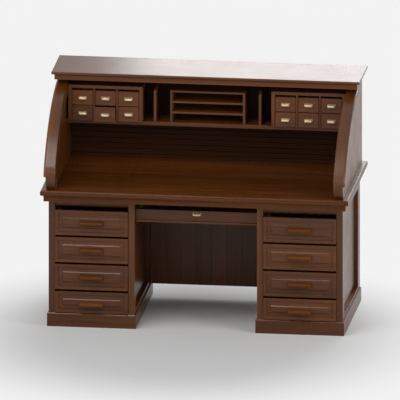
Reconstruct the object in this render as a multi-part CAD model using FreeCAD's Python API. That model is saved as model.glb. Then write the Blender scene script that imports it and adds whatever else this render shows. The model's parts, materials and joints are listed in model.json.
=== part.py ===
"""Roll-top captain's desk with two drawer pedestals, a kneehole and an organizer.

Millimetres. +Z is up, +X runs to the sitter's right and -Y points at the sitter.
The origin is on the floor under the middle of the desktop.
Every sub-part is written to parts/NODE.step.
"""
import FreeCAD, Part
import math
import os

V = FreeCAD.Vector

# ---------------------------------------------------------------- driving dimensions
# whole desk
DESK_WIDTH = 1680.0
DESK_DEPTH = 828.0
WRITING_HEIGHT = 775.0
OVERALL_HEIGHT = 1309.0

# clearances
SEAT_GAP = 0.3            # between pieces that rest or slide on each other
DRAWER_SIDE_GAP = 1.5     # each side of a drawer front
WALL_CLEARANCE = 3.0      # each side of a drawer box

# desktop
DESKTOP_BOARD = 30.0
DESKTOP_FASCIA = 33.0
FASCIA_INSET = 17.0
DESKTOP_NOSE = 9.0
DESKTOP_COVE = 7.5

# pedestals
PEDESTAL_WIDTH = 468.0
PEDESTAL_SETBACK = 71.0     # from the front edge of the desktop
PEDESTAL_BACK_SETBACK = 28.0
PEDESTAL_SIDE_INSET = 38.5
STILE_WIDTH = 34.0
FACE_FRAME = 22.0
TOP_RAIL_SETBACK = 3.0
TOP_RAIL_ROUND = 26.0
TOP_RAIL_HEIGHT = 44.0
TOP_RAIL_DEPTH = 34.0
PLINTH_HEIGHT = 77.0
PLINTH_PROUD = 8.0
PLINTH_CHAMFER = 5.0
PLINTH_BACK_SETBACK = 5.0
SIDE_REAR_STILE = 85.0
SIDE_FRONT_STILE = 38.0
SIDE_TOP_RAIL = 62.0
SIDE_LOW_RAIL = 18.0
SIDE_RECESS = 24.0
SIDE_FIELD_RISE = 6.0
SIDE_FIELD_BEVEL = 35.0
BACK_BOARD = 12.0
BACK_BOARD_SETBACK = 6.0
RUNNER_HEIGHT = 9.0
RUNNER_WIDTH = 26.0

# pedestal drawers
DRAWER_COUNT = 4
LOWEST_DRAWER_HEIGHT = 117.6
DRAWER_GAP = 12.3
DRAWER_TOP_GAP = 15.0
PLINTH_DRAWER_GAP = 3.0
FRONT_BOARD = 20.0
FRONT_BORDER = 17.0
FRONT_STEP = 6.0
FRONT_BEVEL = 23.0
BOX_WALL = 12.0
BOX_FLOOR = 8.0
BOX_BACK_SPACE = 139.0     # behind the drawer boxes
BOX_HEADROOM = 22.0

# wooden bar pulls of the pedestal drawers
PULL_WIDTH = 131.0
PULL_HEIGHT = 27.0
PULL_DEPTH = 25.0
PULL_DROP = 68.0          # from the top of a drawer front to the middle of its pull
PULL_SLOPE = 17.0          # height of the rounded face above the lip
PULL_SLOPE_BULGE = 4.0
PULL_UNDERCUT = 9.0
PULL_ROUND = 12.0

# kneehole
MODESTY_BOARD = 18.0
MODESTY_BACK_SETBACK = 22.0
MODESTY_BOTTOM = 65.0
MODESTY_BOARD_COUNT = 8
MODESTY_GROOVE = 3.0
CENTRE_SETBACK = 120.0
CENTRE_DROP = 54.0         # from the top of the pedestals to the top of the drawer
CENTRE_HEIGHT = 71.0
CENTRE_BOARD = 18.0
CENTRE_LIP = 8.0
CENTRE_LIP_HEIGHT = 14.0
CENTRE_LENGTH = 420.0
CENTRE_RUNNER = 14.0
CENTRE_PULL_DROP = 18.0

# roll ends and their cap rails
ROLL_RADIUS = 801.0
CAP_THICKNESS = 68.0
CAP_WIDTH = 65.0
CAP_FRONT_SETBACK = 1.0
CAP_END_RISE = 76.0        # from the writing surface to where the roll stands upright
CAP_END_RADIUS = 109.3
CAP_TOP_SETBACK = 90.0     # from the front of the top board
CAP_TOP_DROP = 18.6        # below the frieze
CAP_OUTER_ROUND = 11.0     # along the outer edge that overhangs the panel
CAP_INNER_CHAMFER = 3.0
PANEL_THICKNESS = 43.0
PANEL_SIDE_INSET = 30.0
PANEL_BACK_INSET = 3.0
CAP_OVERLAP_OUT = 12.0

# top board
TOP_DEPTH = 343.0
TOP_PLATE = 15.0
TOP_TOTAL = 46.5
FRIEZE_INSET = 15.0
FRIEZE_RAIL = 22.0
TOP_COVE = 8.0
TOP_NOSE = 4.0

# tambour curtain
CURTAIN_RADIUS = 685.0
CURTAIN_TOP_DROP = 17.1     # below the frieze
CURTAIN_FOOT_SETBACK = 44.0  # from the front of the desktop, where the curtain comes down
BACK_RUN_SETBACK = 83.0      # from the back of the desktop
BACK_BEND_RADIUS = 50.0
SLAT_THICKNESS = 8.0
SLAT_PITCH = 29.0
SLAT_GAP = 2.0
SLAT_EDGE = 2.0
GROOVE_CLEARANCE = 0.6
BEND_CLEARANCE = 2.0       # outside the slats where they turn down
GROOVE_DEPTH = 17.0       # from the inner face of the cap rail
LEAD_HEIGHT = 50.0
LEAD_THICKNESS = 18.0
LEAD_PARK_SETBACK = 155.5  # from the face of the frieze to the middle of the parked rail
LEAD_FOOT_GAP = 0.9        # between the closed rail and the writing surface
CURTAIN_COVER = 44.0       # how far behind the face of the frieze the closed curtain still reaches
TAIL_ROOM = 8.0            # below the curtain's tail
TAIL_GUARD = 10.0          # board in front of the tail, in the kneehole
TAIL_GUARD_GAP = 6.0
LEAD_CHAMFER = 5.0
LEAD_END_GAP = 2.0
FINGER_GROOVE_LENGTH = 110.0
FINGER_GROOVE_DEPTH = 7.0
FINGER_GROOVE_HEIGHT = 14.0

# case back
CASE_BACK = 12.0
CASE_BACK_SETBACK = 16.0
CASE_BACK_GROOVE = 2.0
CASE_BACK_BOARDS = 12

# organizer
SHELF_THICKNESS = 20.0
SHELF_DEPTH = 159.0
CURTAIN_GAP = 12.0         # between the organizer and the back run of the curtain
ORGANIZER_BACK_BOARD = 8.0
ORGANIZER_BACK_HEIGHT = 176.0
BANK_DEPTH = 173.0
BANK_WIDTH = 404.0
BANK_SIDE = 18.0
BANK_TOP = 18.0
BANK_EDGE = 4.0
BANK_DIVIDER = 8.0
BANK_END_GAP = 2.0        # between a bank and the cap rail beside it
BANK_CURTAIN_GAP = 1.6    # under the closed curtain
BANK_COLUMNS = 3
SMALL_UPPER_HEIGHT = 82.0
SMALL_LOWER_HEIGHT = 82.2
SMALL_ROW_GAP = 4.0
SMALL_TOP_GAP = 12.5
SMALL_SIDE_GAP = 2.2
SMALL_BOARD = 12.0
SMALL_WALL = 6.0
SMALL_SETBACK = 2.0
SMALL_BACK_GAP = 3.0
SMALL_HEADROOM = 14.0
SMALL_PULLED_OUT = 25.0   # the left bank's lower middle drawer stands ajar
SMALL_BEAD = 1.5
ROW_SHELF = 7.0
CUP_WIDTH = 46.0
CUP_HEIGHT = 17.0
CUP_DEPTH = 12.5
CUP_WALL = 1.6
RACK_SIDE = 12.0
RACK_DEPTH = 141.0
RACK_HEIGHT = 177.0
RACK_SHELF = 10.5
RACK_SHELF_COUNT = 2
DIVIDER_THICKNESS = 13.0
DIVIDER_BANK_GAP = 58.5
DIVIDER_RACK_GAP = 75.5
DIVIDER_DEPTH = 149.0
DIVIDER_HEIGHT = 186.0
DIVIDER_CHAMFER = 26.0

# ---------------------------------------------------------------- derived places
FRONT = -DESK_DEPTH / 2
BACK = DESK_DEPTH / 2
HALF_WIDTH = DESK_WIDTH / 2
PEDESTAL_TOP = WRITING_HEIGHT - DESKTOP_BOARD - DESKTOP_FASCIA
PEDESTAL_OUT = HALF_WIDTH - PEDESTAL_SIDE_INSET
PEDESTAL_IN = PEDESTAL_OUT - PEDESTAL_WIDTH
PEDESTAL_FRONT = FRONT + PEDESTAL_SETBACK
PEDESTAL_BACK = BACK - PEDESTAL_BACK_SETBACK
OPENING_IN = PEDESTAL_IN + STILE_WIDTH
OPENING_OUT = PEDESTAL_OUT - STILE_WIDTH
PEDESTAL_MIDDLE = (PEDESTAL_IN + PEDESTAL_OUT) / 2
DRAWER_FACE = PEDESTAL_FRONT - PLINTH_PROUD
DRAWER_TOP = PEDESTAL_TOP - TOP_RAIL_HEIGHT - DRAWER_TOP_GAP
DRAWERS_LOW = PLINTH_HEIGHT + PLINTH_DRAWER_GAP
UPPER_DRAWERS_LOW = DRAWERS_LOW + LOWEST_DRAWER_HEIGHT
DRAWER_PITCH = (DRAWER_TOP - UPPER_DRAWERS_LOW) / (DRAWER_COUNT - 1)
BACK_BOARD_FRONT = PEDESTAL_BACK - BACK_BOARD_SETBACK - BACK_BOARD
BOX_LENGTH = BACK_BOARD_FRONT - BOX_BACK_SPACE - DRAWER_FACE - FRONT_BOARD
MODESTY_FRONT = PEDESTAL_BACK - MODESTY_BACK_SETBACK - MODESTY_BOARD
CENTRE_BOTTOM = PEDESTAL_TOP - CENTRE_DROP - CENTRE_HEIGHT
FRAME_TOP = OVERALL_HEIGHT - TOP_TOTAL
TOP_FRONT = BACK - TOP_DEPTH
PANEL_OUT = HALF_WIDTH - PANEL_SIDE_INSET
PANEL_IN = PANEL_OUT - PANEL_THICKNESS
CAP_OUT = PANEL_OUT + CAP_OVERLAP_OUT
CAP_IN = CAP_OUT - CAP_WIDTH
CAP_TOP_Y = TOP_FRONT + CAP_TOP_SETBACK
CAP_END_HEIGHT = WRITING_HEIGHT + CAP_END_RISE
CURTAIN_Z = FRAME_TOP - CURTAIN_TOP_DROP - CURTAIN_RADIUS
CURTAIN_REACH = math.sqrt(CURTAIN_RADIUS ** 2 - (WRITING_HEIGHT - CURTAIN_Z) ** 2)
CURTAIN_Y = FRONT + CURTAIN_FOOT_SETBACK + CURTAIN_REACH
LEAD_Y = TOP_FRONT + FRIEZE_INSET + LEAD_PARK_SETBACK
LEAD_REST_ANGLE = math.degrees(math.asin((CURTAIN_Y - LEAD_Y) / CURTAIN_RADIUS))
CURTAIN_INSIDE = CURTAIN_RADIUS - SLAT_THICKNESS / 2
LEAD_CORNER_ANGLE = math.degrees(math.atan2(LEAD_HEIGHT / 2, CURTAIN_INSIDE))
LEAD_CORNER_RISE = (WRITING_HEIGHT + LEAD_FOOT_GAP - CURTAIN_Z) / math.hypot(LEAD_HEIGHT / 2, CURTAIN_INSIDE)
LEAD_CLOSED_ANGLE = math.degrees(math.acos(LEAD_CORNER_RISE)) - LEAD_CORNER_ANGLE
TAIL_REACH = CURTAIN_Y - TOP_FRONT - FRIEZE_INSET - CURTAIN_COVER
TAIL_CLOSED_ANGLE = math.degrees(math.asin(TAIL_REACH / CURTAIN_RADIUS))
CURTAIN_LENGTH = math.radians(LEAD_CLOSED_ANGLE - TAIL_CLOSED_ANGLE) * CURTAIN_RADIUS
SLAT_COUNT = int((CURTAIN_LENGTH - LEAD_HEIGHT / 2) / SLAT_PITCH)
BACK_RUN_Y = BACK - BACK_RUN_SETBACK
GROOVE_END = CAP_IN + GROOVE_DEPTH
SLAT_END = GROOVE_END - 2 * GROOVE_CLEARANCE
BANK_OUT = CAP_IN - BANK_END_GAP
BANK_IN = BANK_OUT - BANK_WIDTH
ORGANIZER_BACK = BACK_RUN_Y - SLAT_THICKNESS / 2 - CURTAIN_GAP - ORGANIZER_BACK_BOARD
BANK_FRONT = ORGANIZER_BACK - BANK_DEPTH
BEND_Y = BACK_RUN_Y - BACK_BEND_RADIUS
BEND_Z = CURTAIN_Z + math.sqrt((CURTAIN_RADIUS - BACK_BEND_RADIUS) ** 2 - (BEND_Y - CURTAIN_Y) ** 2)
BEND_INSIDE = BACK_BEND_RADIUS - SLAT_THICKNESS / 2
OVER_BANK_FRONT = CURTAIN_Z + math.sqrt(CURTAIN_INSIDE ** 2 - (CURTAIN_Y - BANK_FRONT) ** 2)
OVER_BANK_BACK = BEND_Z + math.sqrt(BEND_INSIDE ** 2 - (ORGANIZER_BACK - BEND_Y) ** 2)
BANK_HEAD = min(OVER_BANK_FRONT, OVER_BANK_BACK) - BANK_CURTAIN_GAP
BANK_CEILING = BANK_HEAD - BANK_TOP
SMALL_ROWS = SMALL_LOWER_HEIGHT + SMALL_ROW_GAP + SMALL_UPPER_HEIGHT
SHELF_TOP = BANK_CEILING - SMALL_TOP_GAP - SMALL_ROWS - 2 * SEAT_GAP
BANK_CELL = (BANK_WIDTH - 2 * BANK_SIDE - (BANK_COLUMNS - 1) * BANK_DIVIDER) / BANK_COLUMNS
SMALL_WIDTH = BANK_CELL - 2 * SMALL_SIDE_GAP
SMALL_LENGTH = BANK_DEPTH - SMALL_SETBACK - SMALL_BACK_GAP
DIVIDER_OUT = BANK_IN - DIVIDER_BANK_GAP
DIVIDER_IN = DIVIDER_OUT - DIVIDER_THICKNESS
RACK_HALF = DIVIDER_IN - DIVIDER_RACK_GAP
RACK_FRONT = ORGANIZER_BACK - RACK_DEPTH
FINGER_GROOVE_OFFSET = (RACK_HALF + DIVIDER_IN) / 2
HALF_GROOVE = SLAT_THICKNESS / 2 + GROOVE_CLEARANCE


# ---------------------------------------------------------------- helpers
def box(x0, x1, y0, y1, z0, z1):
    """Box between two corners."""
    return Part.makeBox(x1 - x0, y1 - y0, z1 - z0, V(x0, y0, z0))


def mirror(shape):
    """The same piece on the other side of the desk."""
    return shape.mirror(V(0, 0, 0), V(1, 0, 0))


def both_sides(shape):
    """A piece and its mirror image, as separate solids of one node."""
    return Part.makeCompound([shape, mirror(shape)])


def prism(points, x0, x1):
    """A closed outline of (y, z) points, drawn along X."""
    corners = [V(x0, y, z) for y, z in points]
    wire = Part.makePolygon(corners + corners[:1])
    return Part.Face(wire).extrude(V(x1 - x0, 0, 0))


def at_angle(centre_y, centre_z, radius, degrees):
    """(y, z) of a point on a circle, with the angle counted from straight up towards the sitter."""
    turn = math.radians(degrees)
    return centre_y - radius * math.sin(turn), centre_z + radius * math.cos(turn)


def arc_edge(centre_y, centre_z, radius, start, end, x):
    """Arc edge between two angles at one X."""
    points = []
    for degrees in (start, (start + end) / 2, end):
        y, z = at_angle(centre_y, centre_z, radius, degrees)
        points.append(V(x, y, z))
    return Part.Arc(*points).toShape()


def ring(centre_y, centre_z, inner, outer, start, end, x0, x1):
    """Curved bar between two radii and two angles, drawn along X."""
    first = arc_edge(centre_y, centre_z, inner, start, end, x0)
    second = arc_edge(centre_y, centre_z, outer, end, start, x0)
    join_a = Part.makeLine(first.valueAt(first.LastParameter), second.valueAt(second.FirstParameter))
    join_b = Part.makeLine(second.valueAt(second.LastParameter), first.valueAt(first.FirstParameter))
    return Part.Face(Part.Wire([first, join_a, second, join_b])).extrude(V(x1 - x0, 0, 0))


def edges_where(shape, test):
    """Edges whose middle point and direction pass a test."""
    chosen = []
    for edge in shape.Edges:
        halfway = (edge.FirstParameter + edge.LastParameter) / 2
        middle = edge.valueAt(halfway)
        direction = edge.tangentAt(halfway)
        if test(middle, direction):
            chosen.append(edge)
    return chosen


def near(a, b):
    """Two lengths are the same."""
    return abs(a - b) < 0.01


def raised_field(x0, x1, z0, z1, base_y, face_y, bevel):
    """Truncated pyramid that stands on base_y and rises to face_y, inset by its bevel."""
    field = Part.makeWedge(x0, 0, z0, z0 + bevel, x0 + bevel,
                           x1, abs(face_y - base_y), z1, z1 - bevel, x1 - bevel)
    if face_y < base_y:
        field = field.mirror(V(0, 0, 0), V(0, 1, 0))
    field.translate(V(0, base_y, 0))
    return field


def save(name, shape):
    """Write one node."""
    shape.exportStep("parts/" + name + ".step")


# ---------------------------------------------------------------- desktop and top board
def edge_moulded_slab(half_width, front, back, top, board, total, inset, nose, cove):
    """Board over an inset fascia, with a rounded nose and a cove between them."""
    slab = box(-half_width, half_width, front, back, top - board, top)
    fascia = box(-half_width + inset, half_width - inset, front + inset, back, top - total, top - board)
    slab = slab.fuse(fascia).removeSplitter()

    def nose_edge(middle, direction):
        outer = near(middle.y, front) or near(abs(middle.x), half_width)
        return outer and abs(direction.z) < 0.5 and not near(middle.y, back)

    def cove_edge(middle, direction):
        inner = near(middle.y, front + inset) or near(abs(middle.x), half_width - inset)
        return inner and near(middle.z, top - board) and not near(middle.y, back)

    slab = slab.makeFillet(nose, edges_where(slab, nose_edge))
    return slab.makeFillet(cove, edges_where(slab, cove_edge))


def curtain_slot(low, high, half_length):
    """Straight slot for the back run of the curtain, across the desk."""
    return box(-half_length, half_length, BACK_RUN_Y - HALF_GROOVE, BACK_RUN_Y + HALF_GROOVE, low, high)


def desktop():
    """Writing surface with a slot through which the curtain runs down behind the pedestal drawers."""
    slab = edge_moulded_slab(HALF_WIDTH, FRONT, BACK, WRITING_HEIGHT, DESKTOP_BOARD,
                             DESKTOP_BOARD + DESKTOP_FASCIA, FASCIA_INSET, DESKTOP_NOSE, DESKTOP_COVE)
    return slab.cut(curtain_slot(PEDESTAL_TOP - 1, WRITING_HEIGHT + 1, GROOVE_END))


def top_board():
    """Top plate over a frieze frame, hollow above the curtain."""
    slab = edge_moulded_slab(HALF_WIDTH, TOP_FRONT, BACK, OVERALL_HEIGHT, TOP_PLATE,
                             TOP_TOTAL, FRIEZE_INSET, TOP_NOSE, TOP_COVE)
    hollow = box(-PANEL_IN, PANEL_IN, TOP_FRONT + FRIEZE_INSET + FRIEZE_RAIL, BACK - FRIEZE_RAIL,
                 FRAME_TOP - 1, OVERALL_HEIGHT - TOP_PLATE)
    return slab.cut(hollow)


# ---------------------------------------------------------------- pedestals, right-hand one
def pedestal_front_frame():
    """Two stiles, a low rail and a top rail with a large rounded underside."""
    frame = box(PEDESTAL_IN, PEDESTAL_OUT, PEDESTAL_FRONT, PEDESTAL_FRONT + FACE_FRAME, 0, PEDESTAL_TOP)
    frame = frame.cut(box(OPENING_IN, OPENING_OUT, PEDESTAL_FRONT - 1, PEDESTAL_FRONT + FACE_FRAME + 1,
                          PLINTH_HEIGHT, PEDESTAL_TOP + 1))
    rail_front = PEDESTAL_FRONT + TOP_RAIL_SETBACK
    rail_low = PEDESTAL_TOP - TOP_RAIL_HEIGHT
    rail = box(OPENING_IN, OPENING_OUT, rail_front, rail_front + TOP_RAIL_DEPTH, rail_low, PEDESTAL_TOP)

    def low_front(middle, direction):
        return near(middle.y, rail_front) and near(middle.z, rail_low)

    rail = rail.makeFillet(TOP_RAIL_ROUND, edges_where(rail, low_front))
    return frame.fuse(rail).removeSplitter()


def pedestal_side(outside):
    """Framed side with a fielded panel, facing outwards or into the kneehole. The curtain's tail
    hangs in a groove of the outer side and in a slot of the inner one."""
    front = PEDESTAL_FRONT + FACE_FRAME
    side = box(0, STILE_WIDTH, front, PEDESTAL_BACK, 0, PEDESTAL_TOP)
    low = PLINTH_HEIGHT + SIDE_LOW_RAIL
    high = PEDESTAL_TOP - SIDE_TOP_RAIL
    recess_front = front + SIDE_FRONT_STILE
    recess_back = PEDESTAL_BACK - SIDE_REAR_STILE
    recess = box(STILE_WIDTH - SIDE_RECESS, STILE_WIDTH + 1, recess_front, recess_back, low, high)
    side = side.cut(recess)
    field = raised_field(recess_front, recess_back, low, high, 0, SIDE_FIELD_RISE, SIDE_FIELD_BEVEL)
    field.rotate(V(0, 0, 0), V(0, 0, 1), 90)
    field = field.mirror(V(0, 0, 0), V(1, 0, 0))
    field.translate(V(STILE_WIDTH - SIDE_RECESS, 0, 0))
    side = side.fuse(field).removeSplitter()
    slot = curtain_slot(tail_bottom() - TAIL_ROOM, PEDESTAL_TOP + 1, GROOVE_END)
    if outside:
        side.translate(V(OPENING_OUT, 0, 0))
        return side.cut(slot)
    side = mirror(side)
    side.translate(V(OPENING_IN, 0, 0))
    return side.cut(slot)


def pedestal_back():
    """Plain board let in between the two sides."""
    return box(OPENING_IN, OPENING_OUT, BACK_BOARD_FRONT, BACK_BOARD_FRONT + BACK_BOARD, 0, PEDESTAL_TOP)


def pedestal_plinth():
    """Skirting round the front and both sides, with a chamfered top edge."""
    x0 = PEDESTAL_IN - PLINTH_PROUD
    x1 = PEDESTAL_OUT + PLINTH_PROUD
    y0 = PEDESTAL_FRONT - PLINTH_PROUD
    y1 = PEDESTAL_BACK - PLINTH_BACK_SETBACK
    plinth = box(x0, x1, y0, y1, 0, PLINTH_HEIGHT)

    def top_outer(middle, direction):
        return near(middle.z, PLINTH_HEIGHT) and not near(middle.y, y1)

    plinth = plinth.makeChamfer(PLINTH_CHAMFER, edges_where(plinth, top_outer))
    return plinth.cut(box(PEDESTAL_IN, PEDESTAL_OUT, PEDESTAL_FRONT, y1 + 1, -1, PLINTH_HEIGHT + 1))


def drawer_span(index):
    """Lowest and highest Z of a drawer front, counted from the top drawer."""
    if index == DRAWER_COUNT - 1:
        return DRAWERS_LOW, UPPER_DRAWERS_LOW
    high = DRAWER_TOP - index * DRAWER_PITCH
    return high - DRAWER_PITCH + DRAWER_GAP, high


def box_bottom(index):
    """Underside of a drawer box, which slides on its runner frame."""
    low, high = drawer_span(index)
    return low + RUNNER_HEIGHT / 2


def drawer_runner(index):
    """Strip on the outer side of the pedestal that carries one edge of a drawer box."""
    high = box_bottom(index) - SEAT_GAP
    return box(OPENING_OUT - RUNNER_WIDTH, OPENING_OUT, PEDESTAL_FRONT + FACE_FRAME, BACK_BOARD_FRONT,
               high - RUNNER_HEIGHT, high)


def across_pedestal(piece):
    """The same strip on the other side of the same pedestal."""
    return piece.mirror(V(PEDESTAL_MIDDLE, 0, 0), V(1, 0, 0))


def open_box(x0, x1, y0, y1, z0, z1, wall, floor):
    """Drawer box without its front: two sides, a back and a floor."""
    shell = box(x0, x1, y0, y1, z0, z1)
    return shell.cut(box(x0 + wall, x1 - wall, y0 - 1, y1 - wall, z0 + floor, z1 + 1))


def pedestal_drawer(index):
    """Fielded front with its box behind."""
    low, high = drawer_span(index)
    x0 = OPENING_IN + DRAWER_SIDE_GAP
    x1 = OPENING_OUT - DRAWER_SIDE_GAP
    face = DRAWER_FACE
    front = box(x0, x1, face, face + FRONT_BOARD, low, high)
    inner = [x0 + FRONT_BORDER, x1 - FRONT_BORDER, low + FRONT_BORDER, high - FRONT_BORDER]
    pocket = box(inner[0], inner[1], face - 1, face + FRONT_STEP, inner[2], inner[3])
    field = raised_field(*inner, face + FRONT_STEP, face, FRONT_BEVEL)
    front = front.cut(pocket).fuse(field)
    body = open_box(OPENING_IN + WALL_CLEARANCE, OPENING_OUT - WALL_CLEARANCE, face + FRONT_BOARD,
                    face + FRONT_BOARD + BOX_LENGTH, box_bottom(index), high - BOX_HEADROOM,
                    BOX_WALL, BOX_FLOOR)
    return front.fuse(body).removeSplitter()


def drawer_pull(index):
    """Wooden bar pull: rounded from the drawer down to its lip, and undercut for the fingers."""
    low, high = drawer_span(index)
    top = high - PULL_DROP + PULL_HEIGHT / 2
    bottom = top - PULL_HEIGHT
    root = DRAWER_FACE
    tip = root - PULL_DEPTH
    lip = top - PULL_SLOPE
    x0 = PEDESTAL_MIDDLE - PULL_WIDTH / 2
    halfway_y = (root + tip) / 2 - PULL_SLOPE_BULGE * PULL_SLOPE / PULL_DEPTH
    halfway_z = (top + lip) / 2 + PULL_SLOPE_BULGE
    slope = Part.Arc(V(x0, root, top), V(x0, halfway_y, halfway_z), V(x0, tip, lip)).toShape()
    under = [(tip, lip), (tip, bottom + PULL_UNDERCUT / 2), (tip + PULL_UNDERCUT / 2, bottom),
             (tip + PULL_UNDERCUT, bottom), (root - PULL_UNDERCUT, lip), (root - PULL_UNDERCUT, bottom),
             (root, bottom), (root, top)]
    outline = Part.Wire([slope] + Part.makePolygon([V(x0, y, z) for y, z in under]).Edges)
    bar = Part.Face(outline).extrude(V(PULL_WIDTH, 0, 0))
    plan = box(x0, x0 + PULL_WIDTH, tip, root, bottom, top)

    def end_edge(middle, direction):
        return abs(direction.z) > 0.9 and near(middle.y, tip)

    return bar.common(plan.makeFillet(PULL_ROUND, edges_where(plan, end_edge)))


# ---------------------------------------------------------------- kneehole
def modesty_panel():
    """Boarded panel between the pedestals, open below and notched round the plinths."""
    y0 = MODESTY_FRONT
    panel = box(-PEDESTAL_IN, PEDESTAL_IN, y0, y0 + MODESTY_BOARD, MODESTY_BOTTOM, PEDESTAL_TOP)
    notch = box(PEDESTAL_IN - PLINTH_PROUD - SEAT_GAP, PEDESTAL_IN + 1, y0 - 1, y0 + MODESTY_BOARD + 1,
                MODESTY_BOTTOM - 1, PLINTH_HEIGHT + SEAT_GAP)
    panel = panel.cut(both_sides(notch))
    pitch = 2 * PEDESTAL_IN / MODESTY_BOARD_COUNT
    for number in range(1, MODESTY_BOARD_COUNT):
        x = -PEDESTAL_IN + number * pitch
        groove = box(x - MODESTY_GROOVE / 2, x + MODESTY_GROOVE / 2, y0 - 1, y0 + MODESTY_GROOVE,
                     MODESTY_BOTTOM - 1, PEDESTAL_TOP + 1)
        panel = panel.cut(groove)
    return panel


def tail_guard():
    """Board in the kneehole that covers the tail of the curtain."""
    y1 = BACK_RUN_Y - HALF_GROOVE - TAIL_GUARD_GAP
    return box(-PEDESTAL_IN, PEDESTAL_IN, y1 - TAIL_GUARD, y1, tail_bottom() - TAIL_ROOM, PEDESTAL_TOP)


def centre_runner():
    """Grooved strip on the right-hand pedestal that carries the centre drawer."""
    y0 = FRONT + CENTRE_SETBACK + CENTRE_BOARD
    high = CENTRE_BOTTOM + CENTRE_LIP_HEIGHT - SEAT_GAP
    return box(PEDESTAL_IN - 2 * CENTRE_RUNNER, PEDESTAL_IN, y0, MODESTY_FRONT,
               high - CENTRE_RUNNER, high)


def centre_drawer():
    """Shallow pencil drawer with a moulded lower lip."""
    face = FRONT + CENTRE_SETBACK
    x1 = PEDESTAL_IN - DRAWER_SIDE_GAP
    high = CENTRE_BOTTOM + CENTRE_HEIGHT
    front = box(-x1, x1, face, face + CENTRE_BOARD, CENTRE_BOTTOM, high)
    lip = box(-x1, x1, face - CENTRE_LIP, face, CENTRE_BOTTOM, CENTRE_BOTTOM + CENTRE_LIP_HEIGHT)

    def lip_edge(middle, direction):
        return near(middle.y, face - CENTRE_LIP) and abs(direction.x) > 0.9

    lip = lip.makeFillet(CENTRE_LIP * 0.75, edges_where(lip, lip_edge))
    wall_out = x1 - WALL_CLEARANCE
    body = open_box(-wall_out, wall_out, face + CENTRE_BOARD, face + CENTRE_BOARD + CENTRE_LENGTH,
                    CENTRE_BOTTOM + CENTRE_LIP_HEIGHT, high, BOX_WALL, BOX_FLOOR)
    return front.fuse(lip).fuse(body).removeSplitter()


# ---------------------------------------------------------------- roll ends, right-hand one
def circle_angle(centre_y, centre_z, y, z):
    """Angle of a point, counted from straight up towards the sitter."""
    return math.degrees(math.atan2(centre_y - y, z - centre_z))


def roll_centre(tight_y):
    """Centre of the large roll: it passes its top point and is tangent to the tight end arc."""
    top_z = FRAME_TOP - CAP_TOP_DROP
    apart = math.hypot(tight_y - CAP_TOP_Y, CAP_END_HEIGHT - top_z)
    along_y = (tight_y - CAP_TOP_Y) / apart
    along_z = (CAP_END_HEIGHT - top_z) / apart
    tangent_radius = ROLL_RADIUS - CAP_END_RADIUS
    along = (ROLL_RADIUS ** 2 - tangent_radius ** 2 + apart ** 2) / (2 * apart)
    across = math.sqrt(ROLL_RADIUS ** 2 - along ** 2)
    return CAP_TOP_Y + along * along_y - across * along_z, top_z + along * along_z + across * along_y


def roll_edges(inset, x):
    """Front outline of a roll end, that far inside its outer face: a tight arc that ends upright,
    then the large roll. Given from the cap's lower end to its top end."""
    tight_y = FRONT + CAP_FRONT_SETBACK + CAP_END_RADIUS
    roll_y, roll_z = roll_centre(tight_y)
    meet = circle_angle(roll_y, roll_z, tight_y, CAP_END_HEIGHT)
    radius = ROLL_RADIUS - inset
    top = math.degrees(math.asin((roll_y - CAP_TOP_Y) / radius))
    low_arc = arc_edge(tight_y, CAP_END_HEIGHT, CAP_END_RADIUS - inset, 90, meet, x)
    high_arc = arc_edge(roll_y, roll_z, radius, meet, top, x)
    return [low_arc, high_arc]


def first_point(edge):
    """Start of an edge."""
    return edge.valueAt(edge.FirstParameter)


def last_point(edge):
    """End of an edge."""
    return edge.valueAt(edge.LastParameter)


def bend_start():
    """Angle where the curtain's arc meets the bend that turns it down at the back."""
    return circle_angle(CURTAIN_Y, CURTAIN_Z, BEND_Y, BEND_Z)


def curtain_groove(x0, x1):
    """Room for the curtain: the arc, the bend at the back and the straight back run."""
    arc = ring(CURTAIN_Y, CURTAIN_Z, CURTAIN_RADIUS - HALF_GROOVE, CURTAIN_RADIUS + HALF_GROOVE,
               90, bend_start(), x0, x1)
    outside = BACK_BEND_RADIUS + SLAT_THICKNESS / 2 + BEND_CLEARANCE
    bend = ring(BEND_Y, BEND_Z, BACK_BEND_RADIUS - HALF_GROOVE, outside, bend_start(), -90, x0, x1)
    straight = box(x0, x1, BACK_RUN_Y - HALF_GROOVE, BACK_RUN_Y + HALF_GROOVE, WRITING_HEIGHT - 1, BEND_Z)
    return arc.fuse(bend).fuse(straight)


def roll_end():
    """Side panel whose front edge follows the roll inside its cap rail."""
    curve = roll_edges(CAP_THICKNESS, PANEL_IN)
    rear_y = BACK - PANEL_BACK_INSET
    upright = first_point(curve[0])
    foot = [V(PANEL_IN, upright.y, WRITING_HEIGHT), upright]
    rest = [last_point(curve[1]), V(PANEL_IN, CAP_TOP_Y, FRAME_TOP), V(PANEL_IN, rear_y, FRAME_TOP),
            V(PANEL_IN, rear_y, WRITING_HEIGHT), foot[0]]
    edges = Part.makePolygon(foot).Edges + curve + Part.makePolygon(rest).Edges
    panel = Part.Face(Part.Wire(edges)).extrude(V(PANEL_THICKNESS, 0, 0))
    return panel.cut(curtain_groove(CAP_IN - 1, GROOVE_END))


def cap_foot():
    """Lower end of a cap rail: its front goes on round the tight arc, down to the writing surface."""
    tight_y = FRONT + CAP_FRONT_SETBACK + CAP_END_RADIUS
    turn = 90 + math.degrees(math.asin(CAP_END_RISE / CAP_END_RADIUS))
    front = arc_edge(tight_y, CAP_END_HEIGHT, CAP_END_RADIUS, turn, 90, CAP_IN)
    back_y = tight_y - CAP_END_RADIUS + CAP_THICKNESS
    rest = [last_point(front), V(CAP_IN, back_y, CAP_END_HEIGHT), V(CAP_IN, back_y, WRITING_HEIGHT),
            first_point(front)]
    outline = Part.Wire([front] + Part.makePolygon(rest).Edges)
    return Part.Face(outline).extrude(V(PANEL_OUT - CAP_IN, 0, 0))


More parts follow.
